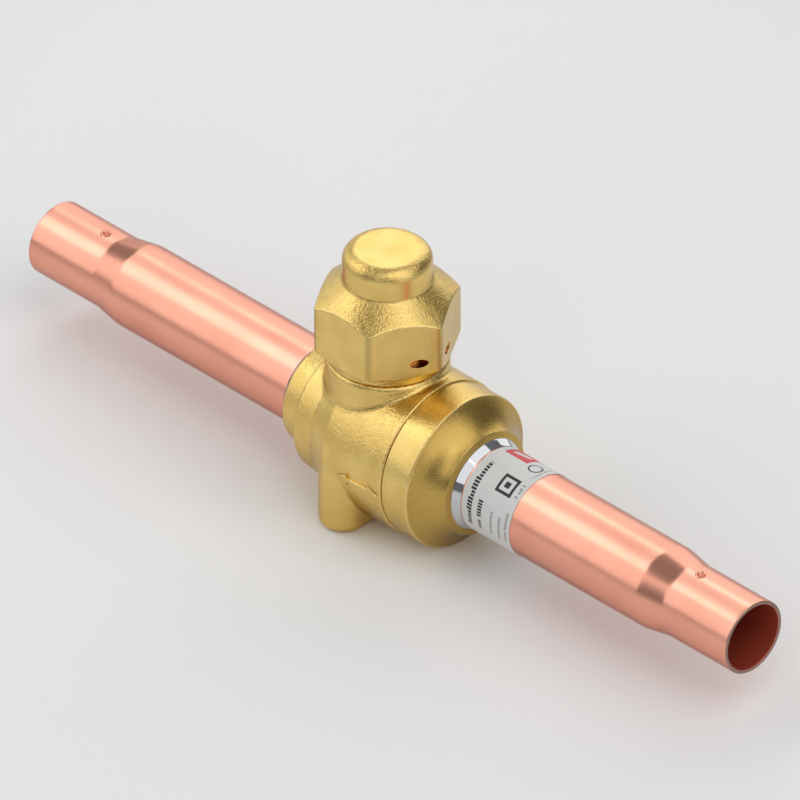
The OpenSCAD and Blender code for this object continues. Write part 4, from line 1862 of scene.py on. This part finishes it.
    def cut_thread(self, bore: Array, angle: Array) -> None:
        """Cuts the thread: the bore's radius grows by a helical triangle wave.

        Args:
            bore: Points of the bore's wall, which are moved.
            angle: Angles round the stem.
        """
        height = bore[..., 2]
        start = self.thread_heights()[0]
        on_thread = np.clip((height - start) / 0.6, 0, 1) * (height < self.ceiling - 1.2)
        groove = thread_groove(height, angle / (2 * np.pi), self.pitch, self.thread_slope)
        bore[..., :2] *= (1 + groove * self.thread_depth * on_thread / self.bore_r)[..., None]

    def wire_hole(self) -> bpy.types.Object:
        """Hole for the seal wire, as a solid that is cut away.

        Returns:
            The solid.
        """
        reach = self.wire_reach
        path = np.array([(-reach, 0), (-reach, self.wire_r), (reach, self.wire_r), (reach, 0)])
        wire, faces = turned_part(path, Turning.PIPE, self.wire_segments, closed=False)
        wire = wire[..., [1, 0, 2]] + [self.wire_x, 0, self.wire_z]
        return mesh_piece("cutter_wire", [(wire, faces)])

    def build(self, material: bpy.types.Material) -> None:
        """Makes the cap: an outline from the top's pole over the outside, under the rim and up the
        bore to the inner pole, turned about the stem and then cut.

        Args:
            material: Finish of the cap.
        """
        outside, angle = self.outside(), round_angles(self.segments)
        grid = turned(np.vstack([outside, self.inside()]), Turning.STEM, angle)
        bore_row = len(outside) + 1
        self.cut_flats(grid[: len(outside)], angle)
        self.cut_thread(grid[bore_row : bore_row + self.thread_rows], angle)
        cap = mesh_piece("seal_cap_forged", [(grid, grid_faces(grid, wrap_rows=False))])
        cut_away(cap, [self.wire_hole()])
        mark_edges(cap)
        write_attribute(cap, "grain", self.grain_left(point_places(cap)))
        # The attribute corner carries the painted dark reflection of the rounded corners.
        write_attribute(cap, "corner", self.corner_reflection_share(point_places(cap)))
        finish_piece(cap, Rider.CAP, material, "cap_brass", "seal_cap")


@dataclass
class TubeLabel:
    """Label wrapped round the outlet tube, with a plain print."""

    start_x: float = 33.95
    width: float = 15.1
    radius: float = TUBE_SEAT_R
    thickness: float = 0.12
    middle: float = -45.0
    wrap: float = 320.0
    rows: int = 17
    steps: int = 241

    def film(self) -> tuple[Array, Faces]:
        """Thin sheet bent round the pipe, closed at its rims.

        Returns:
            Points and faces.
        """
        along = np.linspace(0, self.width, self.rows)
        turn = np.radians(self.middle + np.linspace(-self.wrap / 2, self.wrap / 2, self.steps))
        face, back = (
            np.stack([
                self.start_x + along[None] + 0 * turn[:, None],
                radius * np.sin(turn)[:, None] + 0 * along[None],
                radius * np.cos(turn)[:, None] + 0 * along[None],
            ], -1)
            for radius in (self.radius + self.thickness, self.radius)
        )
        grid = with_poles(np.concatenate([face, back[:, ::-1]], 1))
        return grid, grid_faces(grid, wrap_rows=False)

    def map_print(self, piece: bpy.types.Object) -> None:
        """Writes the map of the print: u along the tube from the label's edge, and v round it from
        the label's middle line, both in millimetres.

        Args:
            piece: The label.
        """
        mesh = piece.data
        x, y, z = point_places(piece).T
        u = x - self.start_x
        v = wrapped(np.arctan2(y, z) - math.radians(self.middle)) * self.radius
        corners = np.empty(len(mesh.loops), np.int32)
        mesh.loops.foreach_get("vertex_index", corners)
        layer = mesh.uv_layers.new(name="Label")
        layer.data.foreach_set("uv", np.stack([u, v], -1)[corners].astype(np.float32).ravel())

    def build(self, material: bpy.types.Material) -> None:
        """Makes the label.

        Args:
            material: Finish of the label.
        """
        piece = mesh_piece("label_film", [self.film()])
        self.map_print(piece)
        finish_piece(piece, Rider.VALVE, material, "label_film", "label")


def finish_piece(
    piece: bpy.types.Object, rider: Rider, material: bpy.types.Material, slot: str, *nodes: str
) -> None:
    """Gives a piece its material and body, and hides the frame's nodes that it stands for.

    Args:
        piece: The piece.
        rider: Body that it moves with.
        material: Its finish.
        slot: Not used.
        nodes: Nodes that it replaces.
    """
    piece.data.materials.clear()
    piece.data.materials.append(material)
    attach(piece, rider.value)
    if nodes:
        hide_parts(*nodes)
    log.info("%s: %d faces, moves with %s", piece.name, len(piece.data.polygons), rider.value)


@dataclass
class InnerParts:
    """Parts inside the body, whose own nodes are shown with new finishes."""

    def build(self) -> None:
        """Dresses the nodes."""
        chrome = Steel("hard_chrome", linear(214, 216, 220), 0.12).build()
        steel = Steel("spindle_steel").build()
        ptfe = Moulded("ptfe_white", linear(236, 234, 226), 0.42).build()
        rubber = Moulded("seal_rubber", linear(38, 38, 40), 0.6).build()
        fibre = Moulded("gasket_fibre", linear(150, 126, 92), 0.8, 0.35, 0.03).build()
        finishes = {
            "ball": chrome,
            "spindle": steel,
            "stop_plate": steel,
            "retaining_ring": steel,
            "inlet_seat": ptfe,
            "outlet_seat": ptfe,
            "thrust_washer": ptfe,
            "inlet_seat_seal": rubber,
            "outlet_seat_seal": rubber,
            "end_nut_seal": rubber,
            "spindle_oring_lower": rubber,
            "spindle_oring_upper": rubber,
            "cap_gasket": fibre,
        }
        for name, material in finishes.items():
            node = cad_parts[name]
            for place in node.material_slots:
                place.material = material
            log.info("%s: dressed", name)


# Stage


@dataclass(frozen=True)
class SoftBox:
    """Rectangular soft box, placed by the directions that it covers.

    Angles round are in degrees from +X towards +Y, and angles up from the horizon. The radiance is
    the brightness of its face, where 1 is white, the distance is in metres, and the roll turns the
    box in its own plane.
    """

    name: str
    first: float
    last: float
    low: float
    high: float
    radiance: float
    roll: float = 0.0
    distance: float = 1.5


LAMPS = (
    SoftBox("soft_left", 188, 253, 4, 56, 1.02, -7),
    SoftBox("soft_back", 89, 143, -1, 56, 1.10, -8),
    SoftBox("soft_low", 143, 192, -1, 23, 0.88),
    SoftBox("soft_above", 131, 224, 45, 64, 1.06, -2, 1.6),
    SoftBox("soft_right", 328, 394, 1, 85, 1.05, -14, 1.6),
    SoftBox("soft_front", 288, 321, 14, 66, 0.98, -30),
)


@dataclass
class Studio:
    """Floor, lamps, world and camera."""

    frame_width: float = 181.4
    lens: float = 1300.0
    sensor: float = 36.0
    clip: tuple[float, float] = (0.1, 100.0)
    azimuth: float = 45.0
    elevation: float = 35.0
    shift_right: float = 2.83
    shift_up: float = 6.18
    low_tone: float = 0.18
    high_tone: float = 0.22
    floor_radii: tuple[float, ...] = (0, 100, 200, 400, 800, 1600, 4000, 12000)
    floor_segments: int = 96
    floor_gap: float = 0.02

    def lamp(self, box: SoftBox) -> None:
        """Adds a soft box that faces the object. Its width is twice the distance times the cosine
        of its height times the tangent of half its angle round, and its height is twice the
        distance times the tangent of half its angle up.

        Args:
            box: The soft box.
        """
        round_way = math.radians((box.first + box.last) / 2)
        up_way = math.radians((box.low + box.high) / 2)
        half_round = math.radians(box.last - box.first) / 2
        half_up = math.radians(box.high - box.low) / 2
        flat = math.cos(up_way)
        data = bpy.data.lights.new(box.name, "AREA")
        data.shape = "RECTANGLE"
        data.size = 2 * box.distance * flat * math.tan(half_round)
        data.size_y = 2 * box.distance * math.tan(half_up)
        data.energy = box.radiance * math.pi * data.size * data.size_y
        lamp = bpy.data.objects.new(box.name, data)
        away = Vector((flat * math.cos(round_way), flat * math.sin(round_way), math.sin(up_way)))
        lamp.location = away * box.distance + Vector((0, 0, AXIS_HEIGHT * MM))
        lamp.rotation_mode = "QUATERNION"
        turn = Quaternion((0, 0, 1), math.radians(box.roll))
        lamp.rotation_quaternion = away.to_track_quat("Z", "Y") @ turn
        lamp.visible_camera = False
        bpy.context.scene.collection.objects.link(lamp)

    def world(self) -> None:
        """Makes a plain grey world that is a little paler above."""
        world = bpy.data.worlds.new("studio")
        bpy.context.scene.world = world
        world.use_nodes = True
        s = Shader(world.node_tree)
        way = s.node("ShaderNodeTexCoord", output="Generated")
        height = s.node("ShaderNodeSeparateXYZ", inputs={0: way}, output=2)
        low, high = (self.low_tone,) * 3, (self.high_tone,) * 3
        stops = [(0.0, low), (0.6, low), (1.0, high)]
        tone = s.node("ShaderNodeValToRGB", {"stops": stops}, {0: height})
        light = s.node("ShaderNodeBackground", inputs={"Color": tone, "Strength": 1.0})
        s.node("ShaderNodeOutputWorld", inputs={"Surface": light})

    def floor(self) -> None:
        """Makes the floor: a disc turned about the stem, a hair under the foot's face."""
        path = np.array([(r, 0.0) for r in self.floor_radii])
        grid = turned(path, Turning.STEM, self.floor_segments)
        faces = grid_faces(grid, wrap_rows=False)
        flat = grid.reshape(-1, 3) - [0, 0, AXIS_HEIGHT + self.floor_gap]
        floor = mesh_piece("floor", [(flat, faces)])
        floor.data.materials.append(PaleFloor("pale_floor").build())
        if floor.data.polygons[0].normal.z < 0:
            floor.data.flip_normals()

    def camera(self) -> None:
        """Makes the camera at the photograph's angle, far off with a long lens."""
        a, e = math.radians(self.azimuth), math.radians(self.elevation)
        away = np.array([math.sin(a) * math.cos(e), -math.cos(a) * math.cos(e), math.sin(e)])
        right = np.array([math.cos(a), math.sin(a), 0])
        up = np.cross(away, right)
        aim = np.array([0, 0, AXIS_HEIGHT]) + right * self.shift_right + up * self.shift_up
        data = bpy.data.cameras.new("view")
        data.lens, data.sensor_width = self.lens, self.sensor
        distance = self.frame_width * self.lens / self.sensor
        data.clip_start, data.clip_end = self.clip
        camera = bpy.data.objects.new("view", data)
        camera.location = (aim + away * distance) * MM
        camera.rotation_mode = "QUATERNION"
        camera.rotation_quaternion = Vector(away).to_track_quat("Z", "Y")
        bpy.context.scene.collection.objects.link(camera)
        bpy.context.scene.camera = camera

    def build(self) -> None:
        """Makes the stage."""
        self.camera()
        self.floor()
        self.world()
        for box in LAMPS:
            self.lamp(box)
        bpy.context.scene.view_settings.view_transform = "Standard"


def main() -> None:
    """Builds the valve and its stage."""
    logging.basicConfig(level=logging.INFO, format="%(name)s: %(message)s")
    Studio().build()
    forged = ForgedBrass("forged_brass_blasted").build()
    cap = SealCap()
    # The cap gets painted shade in its seal-wire hole and a painted dark reflection on its rounded
    # corners.
    cap_brass = ForgedBrass(
        "cap_brass_blasted", depth=0.13, cut_faces=True, wire=(cap.wire_x, cap.wire_z, cap.wire_r)
    ).build()
    nut = EndNut()
    # The nut gets painted shade from its cup on.
    nut_brass = ForgedBrass(
        "nut_brass_blasted", grain=0.32, depth=0.055, roughness=0.255, cup_x=nut.flange_x
    ).build()
    turned_brass = TurnedBrass("neck_brass_turned").build()
    copper = DrawnCopper("copper_drawn").build()
    silver = SilverBraze("silver_braze_flow").build()
    forging = Forging()
    forging.build(forged, turned_brass)
    FlowArrow().build(forged, forging)
    nut.build(nut_brass)
    LineTube(Side.INLET, -forging.tube_seat_x, INLET_REACH).build(copper)
    LineTube(Side.OUTLET, nut.socket_x, OUTLET_REACH).build(copper)
    Braze(Side.INLET, -forging.collar_x).build(silver)
    Braze(Side.OUTLET, nut.lip_x).build(silver)
    cap.build(cap_brass)
    TubeLabel().build(PrintedLabel("label_print").build())
    InnerParts().build()


if __name__ == "__main__":
    main()
